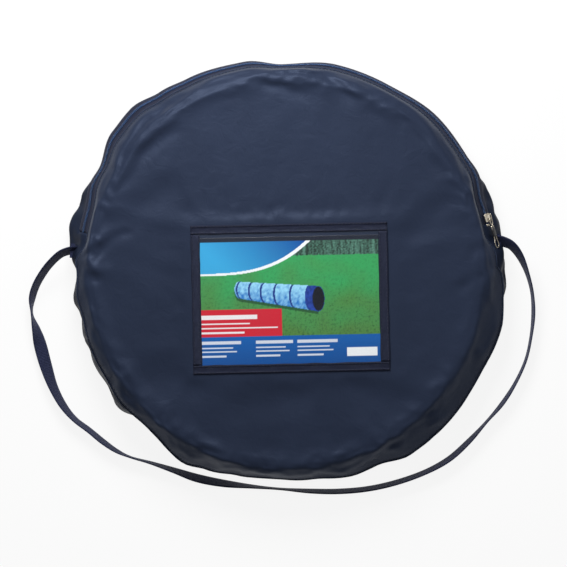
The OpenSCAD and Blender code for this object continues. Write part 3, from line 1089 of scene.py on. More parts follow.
def tape_strip(name, angles, from_share, to_share, material_name, bow=0.0):
    """A strip of zip tape between two shares of the slope from seam to band."""
    steps = 6
    verts, uvs = [], []
    run = 0.0
    last = None
    for a in angles:
        _, down, out = zip_frame(a)
        centre = zip_point(a)
        run += (centre - last).length if last else 0.0
        last = centre
        up_len = (zip_point(a) - seam_point(a)).length
        low_len = (band_point(a) - zip_point(a)).length
        for s in range(steps):
            t = from_share + (to_share - from_share) * s / (steps - 1)
            d = down * (t * (up_len if t < 0 else low_len))
            verts.append(centre + d + out * bow * (1 - (2 * s / (steps - 1) - 1) ** 2))
            uvs.append((s * 0.001, run))
    faces = [(i * steps + s, i * steps + s + 1, (i + 1) * steps + s + 1, (i + 1) * steps + s)
             for i in range(len(angles) - 1) for s in range(steps - 1)]
    obj = new_mesh(name, verts, faces, material(material_name))
    lay_uvs(obj, uvs)
    return thicken(obj, 0.6 * MM, offset=0.0)


def shifted(angles, down_by, out_by):
    """A path beside the zip's middle line, with its outward directions."""
    path, ups = [], []
    for a in angles:
        _, down, out = zip_frame(a)
        path.append(zip_point(a) + down * down_by + out * out_by)
        ups.append(out)
    return path, ups


# ------------------------------------------------------------------ bag pieces


def make_cover():
    """Front cover: one sheet from seam to seam, which folds where the flap is turned back."""
    front = settled_cloth()[0]
    verts = [p for column in front for p in column]
    faces = column_quads(0, FRONT_ROWS)
    faces.append(tuple(k * FRONT_ROWS for k in range(ANGLES)))
    obj = new_mesh("front_cover", verts, faces, material("bag_cloth"))
    subdivide(obj)
    thicken(obj, bpy.context.scene.tunnel_bag.cloth_thickness)
    bend_at_fold(obj)
    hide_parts("front_panel", "front_flap")
    return obj


def make_gusset():
    """Side band: the whole height below the zip's ends, and under the zip above them."""
    gusset = settled_cloth()[1]
    verts = [p for column in gusset for p in column]
    faces = []
    for k in range(ANGLES):
        angle = 2 * math.pi * (k + 0.5) / ANGLES
        zipped = ZIP_START < angle < math.pi - ZIP_START
        for j in range(BAND_ROW if zipped else 0, GUSSET_ROWS - 1):
            faces.append((k * GUSSET_ROWS + j, k * GUSSET_ROWS + j + 1,
                          (k + 1) % ANGLES * GUSSET_ROWS + j + 1,
                          (k + 1) % ANGLES * GUSSET_ROWS + j))
    obj = new_mesh("side_band", verts, faces, material("side_cloth_painted_shade"))
    drop_loose(obj)
    subdivide(obj)
    thicken(obj, bpy.context.scene.tunnel_bag.cloth_thickness)
    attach(obj, "bag")
    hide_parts("gusset_lower", "gusset_upper")
    return obj


def make_back():
    """Back cloth: flat on the floor, with shallow creases, sewn to the side band."""
    rows = 36
    verts = []
    for column in settled_cloth()[1]:
        edge = column[-1]
        radius = math.hypot(edge.x, edge.y) + 1.2 * MM
        angle = math.atan2(edge.y, edge.x)
        for j in range(rows):
            p = polar(max(radius * j / (rows - 1), 3 * MM), angle, 0)
            rise = noise.noise(p * 14) + 0.5 * noise.noise(p * 37)
            fade = min(1.0, (rows - 1 - j) / 3)
            p.z = 0.55 * MM + fade * max(0.0, rise) * 1.1 * MM
            verts.append(p)
    faces = [(k * rows + j, (k + 1) % ANGLES * rows + j, (k + 1) % ANGLES * rows + j + 1,
              k * rows + j + 1) for k in range(ANGLES) for j in range(rows - 1)]
    faces.append(tuple(k * rows for k in range(ANGLES - 1, -1, -1)))
    obj = new_mesh("back_cloth", verts, faces, material("bag_cloth"))
    thicken(obj, 0.4 * MM, offset=0.0)
    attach(obj, "bag")
    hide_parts("back_panel")
    return obj


def stitch_row(name, paths, ups, body, turn=0.0):
    """A row of lockstitches lying on the cloth."""
    thread = bpy.context.scene.tunnel_stitch
    obj = repeat_along(name, paths, ups, material("thread"), thread.spacing, thread.length,
                       thread.thread, thread.thread * 0.8, turn)
    if body == "flap":
        bend_at_fold(obj)
    else:
        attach(obj, body)
    return obj


def seam_row(lift, inwards):
    """A path beside the front seam on the cover, with its outward directions."""
    front = settled_cloth()[0]
    path, ups = [], []
    for k in range(ANGLES + 1):
        edge = front[k % ANGLES][-1]
        before = front[k % ANGLES][-2]
        along = (front[(k + 1) % ANGLES][-1] - front[(k - 1) % ANGLES][-1]).normalized()
        back = (before - edge).normalized()
        up = along.cross(back).normalized()
        if up.z < 0:
            up = -up
        path.append(edge + back * inwards + up * lift)
        ups.append(up)
    return path, ups


def make_seam_stitches():
    path, ups = seam_row(0.15 * MM, 3.2 * MM)
    stitch_row("cover_stitches", [path], [ups], "flap")


def make_seam_welt():
    """Raised edge of the folded seam round the front cover."""
    path, ups = seam_row(0.2 * MM, 0.2 * MM)
    wavy = [p + u * 0.3 * MM * noise.noise(p * 90) for p, u in zip(path, ups)]
    welt = tube("seam_welt", wavy[:-1], 0.75 * MM, material("bag_cloth"), 8, closed=True)
    bend_at_fold(welt)


def make_zip_tapes():
    """Two zip tapes between the cover's edge and the side band, with sewn ends."""
    span = zip_angles(260)
    ends = 1.08
    back = tape_strip("zip_tape_lower", span, 0.03, ends, "zip_tape", -0.1 * MM)
    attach(back, "bag")
    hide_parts("zip_tape_back")
    front = tape_strip("zip_tape_upper", span, -ends, -0.03, "zip_tape", -0.1 * MM)
    bend_at_fold(front)
    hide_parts("zip_tape_front", "zip_tape_ends")


COIL_PITCH = 1.3 * MM


def make_zip_coils():
    """Two rows of coil teeth that mesh along the middle of the zip."""
    span = zip_angles(400)
    for name, side, body, node in (("coil_lower", 0.75, "bag", "zip_coil_back"),
                                   ("coil_upper", -0.75, "flap", "zip_coil_front")):
        path, ups = shifted(span, side * MM, 0.75 * MM)
        teeth = repeat_along(name, [path], [ups], material("zip_coil"), COIL_PITCH,
                             0.95 * MM, 2.1 * MM, 1.5 * MM, math.copysign(0.22, side))
        if body == "flap":
            bend_at_fold(teeth)
        else:
            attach(teeth, body)
        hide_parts(node)


def make_zip_stitches():
    span = zip_angles(400)
    for name, share, body in (("zip_stitches_lower", 0.8, "bag"),
                              ("zip_stitches_upper", -0.8, "flap")):
        path, ups = [], []
        for a in span:
            out = zip_frame(a)[2]
            centre = zip_point(a)
            reach = (band_point(a) if share > 0 else seam_point(a)) - centre
            path.append(centre + reach * abs(share) + out * 0.35 * MM)
            ups.append(out)
        stitch_row(name, [path], [ups], body)


# ------------------------------------------------------------------ zip hardware


def zip_place():
    """Frame of the slider: across the zip, along it and out of it, at the slider's place."""
    radial = Vector((math.cos(SLIDER_ANGLE), math.sin(SLIDER_ANGLE), 0))
    slope = ZIP_SLOPE
    across = radial * math.cos(slope) - Vector((0, 0, math.sin(slope)))
    out = radial * math.sin(slope) + Vector((0, 0, math.cos(slope)))
    along = out.cross(across)
    place = Matrix((across, along, out)).transposed().to_4x4()
    place.translation = radial * ZIP_R + Vector((0, 0, ZIP_Z))
    return place


def plate(name, outline, low, high, bevel, metal):
    """A pressed plate with rolled edges from an outline in mm, in the slider's frame."""
    place = zip_place()
    n = len(outline)
    verts = [place @ (Vector((x, y, z)) * MM) for z in (low, high) for x, y in outline]
    faces = [tuple(range(n - 1, -1, -1)), tuple(range(n, 2 * n))]
    faces += [(i, (i + 1) % n, n + (i + 1) % n, n + i) for i in range(n)]
    obj = new_mesh(name, verts, faces, metal)
    fix_normals(obj)
    return round_edges(obj, bevel * MM, angle_only=True)


def rounded_loop(cx, y0, y1, half, corner, z, steps=6):
    """Points of a rounded rectangle in mm in the slider's frame, placed in the row frame."""
    place = zip_place()
    points = []
    for sx, sy, start in ((1, 1, 0), (-1, 1, 90), (-1, -1, 180), (1, -1, 270)):
        for s in range(steps + 1):
            a = math.radians(start + 90 * s / steps)
            x = cx + sx * (half - corner) + corner * math.cos(a)
            y = (y1 if sy > 0 else y0) - sy * corner + corner * math.sin(a)
            points.append(place @ (Vector((x, y, z)) * MM))
    return points


WIRE_R = 0.6
WIRE_Z = 3.75
BAIL_X = 2.8
LINK_TOP, LINK_LOW = -0.65, -8.65
PULL_TOP, PULL_LOW = -8.95, -32.95


def make_slider():
    """Slider body: two waisted plates, a wedge between them and an arched bail."""
    metal = material("zip_metal")
    shield = [(-4.2, -4.3), (4.2, -4.3), (4.6, -1.5), (4.9, 2.2), (3.6, 4.4), (0.9, 4.5),
              (0, 3.4), (-0.9, 4.5), (-3.6, 4.4), (-4.9, 2.2), (-4.6, -1.5)]
    lower = [(x * 1.04, y) for x, y in shield]
    top = plate("slider_top", shield, 1.7, 2.7, 0.3, metal)
    base = plate("slider_base", lower, -1.9, -0.9, 0.3, metal)
    wedge = plate("slider_wedge", [(0, -4.2), (0.35, 1), (0.8, 4.2), (-0.8, 4.2), (-0.35, 1)],
                  -1.2, 2.0, 0.1, metal)
    place = zip_place()
    arch = catmull([(BAIL_X, -3.5, 2.3), (BAIL_X, -3.45, 4.2), (BAIL_X, -2.4, 5.2),
                    (BAIL_X, 0, 5.35), (BAIL_X, 2.4, 5.2), (BAIL_X, 3.45, 4.2),
                    (BAIL_X, 3.5, 2.3)], 5)
    bail = tube("slider_bail", [place @ (Vector(p) * MM) for p in arch], 0.5 * MM, metal, 12)
    body = join("zip_slider_body", [top, base, wedge, bail])
    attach(body, "slider")
    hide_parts("zip_slider")


def make_link():
    """Wire eye through the bail."""
    path = rounded_loop(BAIL_X, LINK_LOW + WIRE_R, LINK_TOP - WIRE_R, 1.9, 1.5, WIRE_Z)
    eye = tube("link_eye", path, WIRE_R * MM, material("zip_metal"), 12, closed=True)
    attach(eye, "link")
    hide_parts("pull_link")


def make_pull():
    """Long wire loop with a dark moulded grip and a round end for the finger."""
    place = zip_place()
    z = WIRE_Z
    half = [(1.5, PULL_TOP - 0.7), (2.0, PULL_TOP - 2.2), (2.0, -15), (1.9, -20), (2.2, -24),
            (3.1, -28), (2.6, -31.2), (1.0, PULL_LOW + 0.7)]
    side = catmull([(0.3, PULL_TOP - 0.6)] + half + [(0.0, PULL_LOW + 0.6)], 5)
    loop = [(BAIL_X + x, y) for x, y in side] + [(BAIL_X - x, y) for x, y in side[-2::-1]]
    path = [place @ (Vector((x, y, z)) * MM) for x, y in loop]
    metal, dark = material("zip_metal"), material("grip")
    wire = tube("pull_wire", path, WIRE_R * MM, metal, 12, closed=True)
    outline = [(BAIL_X + x, y) for x, y in ((-2.5, -21), (-2.7, -14), (-2.1, -11.6),
                                            (2.1, -11.6), (2.7, -14), (2.5, -21))]
    grip = plate("pull_grip", outline, z - 0.95, z + 0.95, 0.6, dark)
    ribs = [plate("grip_rib", [(BAIL_X - 2.0, y - 0.35), (BAIL_X + 2.0, y - 0.35),
                               (BAIL_X + 2.0, y + 0.35), (BAIL_X - 2.0, y + 0.35)],
                  z + 0.85, z + 1.25, 0.15, dark) for y in (-13.5, -15.5, -17.5, -19.5)]
    body = join("pull_loop", [wire, grip] + ribs)
    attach(body, "pull")
    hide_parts("wire_pull")


def make_stops():
    """Crimped metal stops over both tapes at the ends of the zip."""
    parts = []
    for angle in (ZIP_START - math.radians(0.4), math.pi - ZIP_START + math.radians(0.4)):
        along, down, out = zip_frame(angle)
        centre = zip_point(angle) + out * 0.7 * MM
        verts = []
        for w, h, lift in ((2.3, 1.0, -0.7), (2.6, 1.1, 0.2), (2.2, 0.8, 0.9)):
            for sx, sy in ((1, 1), (-1, 1), (-1, -1), (1, -1)):
                verts.append(centre + down * sx * w * MM + along * sy * h * MM
                             + out * lift * MM)
        faces = [(3, 2, 1, 0), (8, 9, 10, 11)]
        faces += [(r * 4 + i, r * 4 + (i + 1) % 4, r * 4 + 4 + (i + 1) % 4, r * 4 + 4 + i)
                  for r in range(2) for i in range(4)]
        stop = new_mesh("stop", verts, faces, material("zip_metal"))
        fix_normals(stop)
        parts.append(round_edges(stop, 0.35 * MM))
    body = join("zip_end_stops", parts)
    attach(body, "bag")
    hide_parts("zip_stops")


# ------------------------------------------------------------------ window pocket


FRAME_TAPE = 9.5 * MM


def soft_strip(name, low, high, long_axis, seed):
    """A sewn tape with rolled edges that puckers a little along its length."""
    length = (high - low)[long_axis]
    wide_axis = 1 - long_axis
    width = (high - low)[wide_axis]
    top, bottom = high.z, low.z
    rows, cols = max(8, int(length / (2.2 * MM))), 11
    verts, uvs = [], []
    for i in range(rows + 1):
        t = i / rows
        for side in (1, 0):
            for k in range(cols):
                u = k / (cols - 1)
                p = Vector((0, 0, 0))
                p[long_axis] = low[long_axis] + length * t
                wob = noise.noise(Vector((t * length * 60, u * 3, seed)))
                edge = abs(2 * u - 1)
                p[wide_axis] = low[wide_axis] + width * u + 0.5 * MM * wob * edge
                hem = math.exp(-((edge - 0.78) / 0.16) ** 2)
                crown = 0.55 + 0.45 * hem - 0.4 * edge ** 8
                pucker = noise.noise(Vector((t * length * 190, u * 2.5, seed + 9)))
                rise = (top - bottom) * crown + 0.45 * MM * pucker * (1 - edge ** 4)
                p.z = bottom + (rise if side else 0.08 * MM * (1 - edge))
                verts.append(p)
                uvs.append((u * width, t * length))
    loop = 2 * cols
    ring = list(range(cols)) + list(range(2 * cols - 1, cols - 1, -1))
    faces = []
    for i in range(rows):
        for a, b in zip(ring, ring[1:] + ring[:1]):
            faces.append((i * loop + a, i * loop + b, (i + 1) * loop + b, (i + 1) * loop + a))
    faces.append(tuple(ring))
    faces.append(tuple(rows * loop + a for a in reversed(ring)))
    obj = new_mesh(name, verts, faces, material("frame_tape"))
    lay_uvs(obj, uvs)
    face_outwards(obj)
    return obj


def make_frame():
    """Four tapes round the window, each with a stitch row along both edges."""
    up = Vector((0, 0, 1))
    x0, x1 = TAPE_LEFT_LOW.x, TAPE_RIGHT_HIGH.x
    y0, y1 = TAPE_BOTTOM_LOW.y, TAPE_TOP_HIGH.y
    wide = FRAME_TAPE
    base, top = TAPE_TOP_LOW.z, TAPE_TOP_HIGH.z
    for n, (side, x_low, y_low, x_high, y_high, axis) in enumerate((
            ("top", x0, y1 - wide, x1, y1, 0), ("bottom", x0, y0, x1, y0 + wide, 0),
            ("left", x0, y0 + wide, x0 + wide, y1 - wide, 1),
            ("right", x1 - wide, y0 + wide, x1, y1 - wide, 1))):
        low = Vector((x_low, y_low, TAPE_RIGHT_LOW.z if side == "right" else base))
        high = Vector((x_high, y_high, top))
        tape = soft_strip("frame_tape_" + side, low, high, axis, 3.1 * n)
        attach(tape, "bag")
        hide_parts("window_tape_" + side)
        paths, ups = [], []
        for edge in (low[1 - axis] + 1.5 * MM, high[1 - axis] - 1.5 * MM):
            path = []
            for s in range(81):
                p = Vector((0, 0, high.z + 0.05 * MM))
                p[axis] = low[axis] + (high[axis] - low[axis]) * (0.01 + 0.98 * s / 80)
                p[1 - axis] = edge
                path.append(p)
            paths.append(path)
            ups.append([up] * 81)
        stitch_row("frame_stitches_" + side, paths, ups, "bag")


def make_film():
    """Clear film with slow ripples, held all round by the tapes."""
    rows, cols = 40, 52
    verts = []
    low, high = Vector(FILM_LOW), Vector(FILM_HIGH)
    middle = (low.z + high.z) / 2
    for i in range(rows):
        for k in range(cols):
            x = low.x + (high.x - low.x) * k / (cols - 1)
            y = low.y + (high.y - low.y) * i / (rows - 1)
            inside = min(i, rows - 1 - i, k, cols - 1 - k) / 6
            ripple = noise.noise(Vector((x * 22, y * 30, 4.0))) * min(1.0, inside)
            verts.append((x, y, middle + 0.22 * MM * max(ripple, -0.3)))
    obj = new_mesh("clear_window", verts, grid_faces(rows, cols), material("film"))
    thicken(obj, 0.15 * MM, offset=1.0)
    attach(obj, "bag")
    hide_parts("window_film")


def mix(a, b, t):
    t = clamped(t)
    return tuple(x + (y - x) * t for x, y in zip(a, b))


def linear(red, green, blue):
    """Linear colour from 8-bit screen values."""
    out = []
    for c in (red, green, blue):
        c /= 255
        out.append(c / 12.92 if c <= 0.04045 else ((c + 0.055) / 1.055) ** 2.4)
    return tuple(out)


SKY_LOW, SKY_HIGH = linear(52, 160, 212), linear(0, 70, 150)
TREES_DARK, TREES_LIGHT = linear(30, 52, 42), linear(88, 136, 118)
LAWN_FAR, LAWN_NEAR, LAWN_DARK = linear(52, 158, 88), linear(78, 128, 60), linear(16, 58, 34)
TUNNEL_SKIN, TUNNEL_RING = linear(150, 212, 242), linear(20, 50, 130)
BAND_BLUE, BLOCK_RED, WHITE = linear(0, 90, 168), linear(200, 30, 48), linear(236, 240, 243)
PRINT_TOP = 0.034
CARD_BACK = (0.8, 0.8, 0.78, 1)
# Pale bars that stand for text: middle and half height from the top, and how far they reach
BLOCK_BARS = [(0.612, 0.016, 0.32), (0.661, 0.006, 0.28), (0.694, 0.006, 0.43),
              (0.73, 0.006, 0.25)]
BAND_BARS = [(0.805, 0.011, 1.0), (0.845, 0.005, 0.8), (0.875, 0.005, 0.9),
             (0.91, 0.005, 0.65)]
BAND_COLUMNS = [(0.0, 0.23), (0.31, 0.51), (0.535, 0.75)]
TUNNEL_RINGS = [0.055, 0.2, 0.34, 0.5, 0.69, 0.88]
PRINT_ROWS, PRINT_COLS = 212, 300


def print_colour(u, v):
    """Colour of the generic printed card: u from the left, v from the top, both 0 to 1."""
    if v < PRINT_TOP:
        return linear(24, 28, 42)
    blade = noise.noise(Vector((u * 210, v * 120, 1.0)))
    tuft = noise.noise(Vector((u * 75, v * 55, 1.0)))
    patch = noise.noise(Vector((u * 9, v * 7, 5.0)))
    colour = mix(LAWN_FAR, LAWN_NEAR, (v - 0.2) * 1.7 + 0.4 * patch)
    colour = mix(colour, LAWN_DARK, 0.02 + (0.8 * blade + 0.7 * tuft) * (0.15 + v))
    if v < 0.148 + 0.008 * tuft:
        trunk = noise.noise(Vector((u * 75, v * 5, 2.0)))
        leaf = noise.noise(Vector((u * 110, v * 80, 3.0)))
        colour = mix(TREES_DARK, TREES_LIGHT, 0.35 + 0.7 * trunk + 0.7 * leaf)
    arc = PRINT_TOP + 0.25 * (1 - (u / 0.603) ** 3.2)
    if v < arc:
        colour = mix(SKY_LOW, SKY_HIGH, (u - 0.05) * 1.7 - (v - 0.1) * 1.2)
    if abs(v - arc) < 0.008 + 0.025 * u ** 2 and u < 0.63:
        colour = WHITE
    colour = tunnel_print(u, v, colour)
    if u < 0.454 and 0.552 < v < 0.763:
        colour = BLOCK_RED
        if any(abs(v - at) < half and u < end for at, half, end in BLOCK_BARS):
            colour = mix(BLOCK_RED, WHITE, 0.9)
    if v > 0.76:
        colour = mix(BAND_BLUE, linear(0, 70, 140), (v - 0.76) * 4)
        for left, right in BAND_COLUMNS:
            for at, half, share in BAND_BARS:
                if abs(v - at) < half and left < u < left + (right - left) * share:
                    colour = mix(BAND_BLUE, WHITE, 0.75)
        if 0.802 < u < 0.964 and 0.859 < v < 0.928:
            colour = WHITE
    return colour


def tunnel_print(u, v, under):
    """A printed play tunnel on the lawn, seen from its dark open end."""
    left, right = 0.2, 0.652
    if not left < u < 0.71:
        return under
    t = (u - left) / (right - left)
    top, low = 0.337 + 0.048 * t, 0.462 + 0.118 * t
    if t < 0.06:
        shrink = 1 - math.sqrt(max(0.0, 1 - (1 - t / 0.06) ** 2))
        top, low = top + 0.06 * shrink, low - 0.06 * shrink
    mouth = ((u - 0.652) / 0.034) ** 2 + ((v - 0.4825) / 0.0975) ** 2
    if mouth < 1:
        return linear(10, 12, 24) if mouth < 0.88 else TUNNEL_RING
    if t > 1 or not top < v < low:
        shadow = 0 < v - low < 0.022 and t < 1
        return mix(under, LAWN_DARK, 0.75) if shadow else under
    height = (v - top) / (low - top)
    bow = 0.05 * math.sqrt(max(0.0, 1 - (2 * height - 1) ** 2))
    wrinkle = noise.noise(Vector((u * 60, v * 40, 8.0)))
    streak = noise.noise(Vector((u * 140 + v * 60, v * 50, 6.0)))
    colour = mix(TUNNEL_SKIN, linear(40, 118, 195), height * 0.8 + 0.6 * wrinkle + 0.3 * streak)
    for ring in TUNNEL_RINGS:
        if abs(t - ring + bow - 0.02) < 0.012:
            colour = TUNNEL_RING
    if t + bow > 0.89:
        colour = mix(TUNNEL_RING, linear(35, 70, 170), 0.4 + wrinkle)
    return colour


def make_card():
    """Printed card: a fine grid with a painted colour at each point."""
    rows, cols = PRINT_ROWS, PRINT_COLS
    low, high = Vector(CARD_LOW), Vector(CARD_HIGH)
    verts, colours = [], []
    for i in range(rows):
        for k in range(cols):
            u, v = k / (cols - 1), 1 - i / (rows - 1)
            verts.append((low.x + (high.x - low.x) * u, low.y + (high.y - low.y) * (1 - v),
                          high.z))
            colours.append(print_colour(u, v))
    obj = new_mesh("pocket_card", verts, grid_faces(rows, cols), material("card"))
    layer = obj.data.color_attributes.new("print", "FLOAT_COLOR", "POINT")
    layer.data.foreach_set("color", [x for c in colours for x in (*c, 1.0)])
    edge = border_of(rows, cols)
    under = [(verts[i][0], verts[i][1], low.z) for i in edge]
    with edited(obj) as bm:
        bm.verts.ensure_lookup_table()
        upper = [bm.verts[i] for i in edge]
        lower = [bm.verts.new(p) for p in under]
        n = len(edge)
        for i in range(n):
            j = (i + 1) % n
            bm.faces.new((upper[i], lower[i], lower[j], upper[j]))
        bm.faces.new(lower[::-1])
        layer = bm.verts.layers.float_color["print"]
        for vert in lower:
            vert[layer] = CARD_BACK
        bmesh.ops.recalc_face_normals(bm, faces=bm.faces)
    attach(obj, "card")
    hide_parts("card")


def border_of(rows, cols):
    """Indices round the edge of a grid, anticlockwise from its first point."""
    edge = list(range(cols))
    edge += [i * cols + cols - 1 for i in range(1, rows)]
    edge += [(rows - 1) * cols + k for k in range(cols - 2, -1, -1)]
    edge += [i * cols for i in range(rows - 2, 0, -1)]
    return edge


# ------------------------------------------------------------------ carry strap


def strap_points():
    """Middle line and roll of the webbing, close together, in metres and radians."""
    strap = bpy.context.scene.tunnel_strap
    rows = []
    for x, y, lift, roll in STRAP_ROUTE:
        a = math.radians(roll)
        rise = abs(math.sin(a)) * strap.width / 2 + abs(math.cos(a)) * strap.thickness / 2
        rows.append((x * MM, y * MM, lift * MM + rise, a))
    return catmull(rows, 12)


def make_strap():
    """Carry strap of ribbed webbing, laid on the floor round the bag on its edge."""
    strap = bpy.context.scene.tunnel_strap
    rows = strap_points()
    pts = [Vector(r[:3]) for r in rows]
    across_steps = 9
    verts, uvs, run = [], [], 0.0
    half, wall = strap.width / 2, strap.thickness / 2
    for i, p in enumerate(pts):
        along = (pts[min(i + 1, len(pts) - 1)] - pts[max(i - 1, 0)]).normalized()
        side = Vector((along.y, -along.x, 0)).normalized()
        up = side.cross(along).normalized()
        if up.z < 0:
            up = -up
        roll = rows[i][3]
        flat = side * math.cos(roll) + up * math.sin(roll)
        face = up * math.cos(roll) - side * math.sin(roll)
        run += (p - pts[i - 1]).length if i else 0
        for sign in (1, -1):
            for k in range(across_steps):
                u = (2 * k / (across_steps - 1) - 1) * sign
                thin = wall * (1 - 0.45 * abs(u) ** 8)
                verts.append(p + flat * half * u + face * thin * sign)
                uvs.append(((u + 1) * half, run))
    loop = 2 * across_steps
    faces = [(i * loop + k, i * loop + (k + 1) % loop, (i + 1) * loop + (k + 1) % loop,
              (i + 1) * loop + k) for i in range(len(pts) - 1) for k in range(loop)]
    faces.append(tuple(range(loop)))
    faces.append(tuple((len(pts) - 1) * loop + k for k in range(loop - 1, -1, -1)))
    obj = new_mesh("webbing_strap", verts, faces, material("webbing"))
    lay_uvs(obj, uvs)
    face_outwards(obj)
    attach(obj, "strap")
    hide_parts("carry_strap")
    return obj


# ------------------------------------------------------------------ folded tunnel


SKIN_AROUND, SKIN_ROWS = 216, 16
SKIN_INNER = 27 * MM
SECTIONS = 7
PLEATS = 27


def make_skins():
    """Each section of skin, pleated flat between its two hoops."""
    around, rows = SKIN_AROUND, SKIN_ROWS
    for n in range(1, SECTIONS + 1):
        node = "skin_section_" + str(n)
        low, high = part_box(node)
        low, high = Vector(low), Vector(high)
        outer, inner = high.x, SKIN_INNER
        middle, reach = (low.z + high.z) / 2, (high.z - low.z) / 2 - 0.5 * MM
        verts = []
        for j in range(rows):
            r = inner + (outer - inner) * j / (rows - 1)
            for k in range(around):
                a = 2 * math.pi * k / around
                swirl = a + 1.4 * (1 - j / (rows - 1)) ** 1.5 + 0.4 * n
                pleat = math.sin(PLEATS * swirl) + 0.5 * math.sin(11 * swirl + n)
                fade = min(1.0, (rows - 1 - j) / 3)
                wob = noise.noise(Vector((math.cos(a) * 3, math.sin(a) * 3, r * 30 + n)))
                z = middle + reach * fade * max(-1.0, min(1.0, 0.6 * pleat + 0.4 * wob))
                verts.append(polar(r, a, z))
        dark = n in (1, SECTIONS)
        obj = new_mesh("folded_skin_" + str(n), verts, grid_faces(rows, around, True),
                       material("skin_dark" if dark else "skin_light"))
        fix_normals(obj)
        thicken(obj, 0.3 * MM, offset=0.0)
        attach(obj, "bag")
        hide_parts(node)


def dress_kept_nodes():
    """Better finishes on the frame's own hoops, channels, sleeves and strap tabs."""
    finish = {"strap_tab_left": "webbing_end", "strap_tab_right": "webbing_end",
              "hoop_ferrules": "ferrule"}
    for n in range(1, SECTIONS + 2):
        finish["hoop_" + str(n)] = "steel"
        finish["hoop_channel_" + str(n)] = "channel"
    for node, name in finish.items():
        obj = frame["nodes"][node]
        for s in obj.material_slots:
            s.material = material(name)


# ------------------------------------------------------------------ floor, lamps, camera

CAMERA_TURN = math.radians(-1.25)
CAMERA_AIM = Vector((-0.0026, -0.0128, 0))
VIEW_WIDTH = 0.582
LENS = 250
SENSOR = 36
WORLD_STRENGTH = 0.22
# Name, place, width of the disc in metres and power in watts
LAMPS = [("key", (-0.12, 0.6, 0.65), 0.5, 10.3), ("fill", (1.1, 0.3, 1.8), 1.6, 3)]


def make_stage():
    size = 6.0
    verts = [(-size, -size, 0), (size, -size, 0), (size, size, 0), (-size, size, 0)]
    floor = new_mesh("floor", verts, [(0, 1, 2, 3)], material("floor"), smooth=False)
    world = bpy.data.worlds.new("studio")
    bpy.context.scene.world = world
    world.use_nodes = True
    tree = world.node_tree
    soft = tree.nodes["Background"]
    soft.inputs["Color"].default_value = (1, 1, 1, 1)
    soft.inputs["Strength"].default_value = WORLD_STRENGTH
    white = tree.nodes.new("ShaderNodeBackground")
    white.inputs["Strength"].default_value = 1.0
    rays = tree.nodes.new("ShaderNodeLightPath")
    both = tree.nodes.new("ShaderNodeMixShader")
    tree.links.new(rays.outputs["Is Camera Ray"], both.inputs["Fac"])
    tree.links.new(soft.outputs["Background"], both.inputs[1])
    tree.links.new(white.outputs["Background"], both.inputs[2])
    tree.links.new(both.outputs["Shader"], tree.nodes["World Output"].inputs["Surface"])
    for lamp in LAMPS:
        area_lamp(*lamp)
    camera = bpy.data.cameras.new("camera")
    camera.lens = LENS
    camera.sensor_width = SENSOR
    camera.clip_end = 50
    eye = bpy.data.objects.new("camera", camera)
    bpy.context.scene.collection.objects.link(eye)
    turn = Matrix.Rotation(CAMERA_TURN, 4, "Z")
    distance = VIEW_WIDTH * LENS / SENSOR
    place = turn @ CAMERA_AIM
    eye.location = (place.x, place.y, BAG_H + distance)
    eye.rotation_euler = (0, 0, CAMERA_TURN)
    bpy.context.scene.camera = eye
    bpy.context.scene.view_settings.view_transform = "Standard"


def area_lamp(name, place, size, power):
    lamp = bpy.data.lights.new(name, "AREA")
    lamp.shape = "DISK"
    lamp.size = size
    lamp.energy = power
    obj = bpy.data.objects.new(name, lamp)
    bpy.context.scene.collection.objects.link(obj)
    obj.location = place
    obj.rotation_euler = (-Vector(place)).to_track_quat("-Z", "Y").to_euler()


# ------------------------------------------------------------------ operators and panel


def operator(idname, label, doc, make):
    """An operator class that builds one piece or group of pieces."""

    def execute(self, context):
        make()
        return {"FINISHED"}

    return type("TUNNEL_OT_" + idname, (bpy.types.Operator,), {
        "bl_idname": "tunnel." + idname, "bl_label": label, "__doc__": doc,
        "execute": execute, "bl_options": {"REGISTER", "UNDO"},
    })


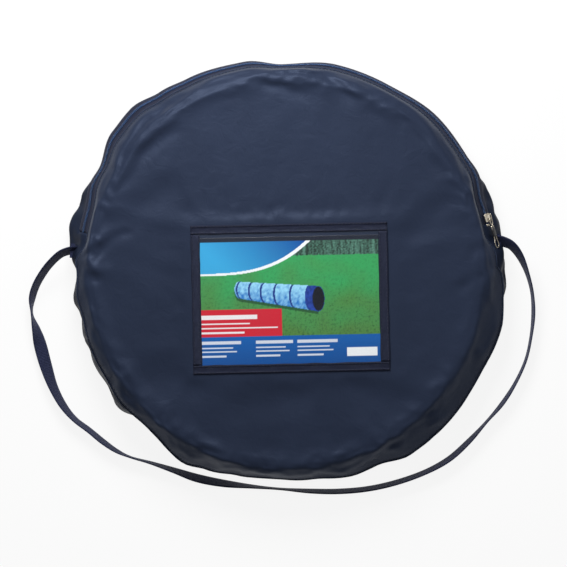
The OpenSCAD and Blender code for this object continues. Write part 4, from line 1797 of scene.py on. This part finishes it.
STEPS = [
    ("stage", "Floor, lamps and camera", "Lay the floor, hang the lamps, set the camera",
     make_stage),
    ("strap", "Carry strap", "Lay the webbing strap round the bag", make_strap),
    ("cover", "Front cover", "Settle the cloth and make the front cover", make_cover),
    ("side_band", "Side band", "Make the band between the cover and the back", make_gusset),
    ("back", "Back cloth", "Make the back cloth", make_back),
    ("seams", "Cover stitches", "Sew along the front seam", make_seam_stitches),
    ("welt", "Seam welt", "Fold the raised edge of the front seam", make_seam_welt),
    ("zip_tapes", "Zip tapes", "Make the two zip tapes", make_zip_tapes),
    ("zip_coils", "Zip coils", "Make the two rows of coil", make_zip_coils),
    ("zip_stitches", "Zip stitches", "Sew the tapes to the cloth", make_zip_stitches),
    ("slider", "Slider", "Make the zip's slider", make_slider),
    ("link", "Link", "Make the wire eye", make_link),
    ("pull", "Pull", "Make the long wire pull", make_pull),
    ("stops", "Stops", "Make the zip's end stops", make_stops),
    ("window_frame", "Window frame", "Sew the tapes round the window", make_frame),
    ("film", "Window film", "Make the clear film", make_film),
    ("card", "Printed card", "Make the generic printed card", make_card),
    ("skins", "Folded skin", "Fold the tunnel's skin between its hoops", make_skins),
    ("kept", "Hoops and tabs", "Finish the hoops, channels, sleeves and tabs",
     dress_kept_nodes),
]
OPERATORS = [operator(*step) for step in STEPS]


class TUNNEL_PT_pieces(bpy.types.Panel):
    """Lists the pieces of the folded tunnel and its bag."""

    bl_label = "Folded tunnel"
    bl_idname = "TUNNEL_PT_pieces"
    bl_space_type = "VIEW_3D"
    bl_region_type = "UI"
    bl_category = "Tunnel"

    def draw(self, context):
        for idname, label, *_ in STEPS:
            self.layout.operator("tunnel." + idname, text=label)
        for settings in ("tunnel_bag", "tunnel_strap", "tunnel_stitch"):
            group = getattr(context.scene, settings)
            for key in group.bl_rna.properties.keys():
                if key not in ("rna_type", "name"):
                    self.layout.prop(group, key)


CLASSES = [BagSettings, StrapSettings, StitchSettings] + OPERATORS + [TUNNEL_PT_pieces]


def register():
    for cls in CLASSES:
        bpy.utils.register_class(cls)
    bpy.types.Scene.tunnel_bag = bpy.props.PointerProperty(type=BagSettings)
    bpy.types.Scene.tunnel_strap = bpy.props.PointerProperty(type=StrapSettings)
    bpy.types.Scene.tunnel_stitch = bpy.props.PointerProperty(type=StitchSettings)


def unregister():
    del bpy.types.Scene.tunnel_bag
    del bpy.types.Scene.tunnel_strap
    del bpy.types.Scene.tunnel_stitch
    for cls in reversed(CLASSES):
        bpy.utils.unregister_class(cls)


def main():
    register()
    for idname, *_ in STEPS:
        getattr(bpy.ops.tunnel, idname)()


if __name__ == "__main__":
    main()
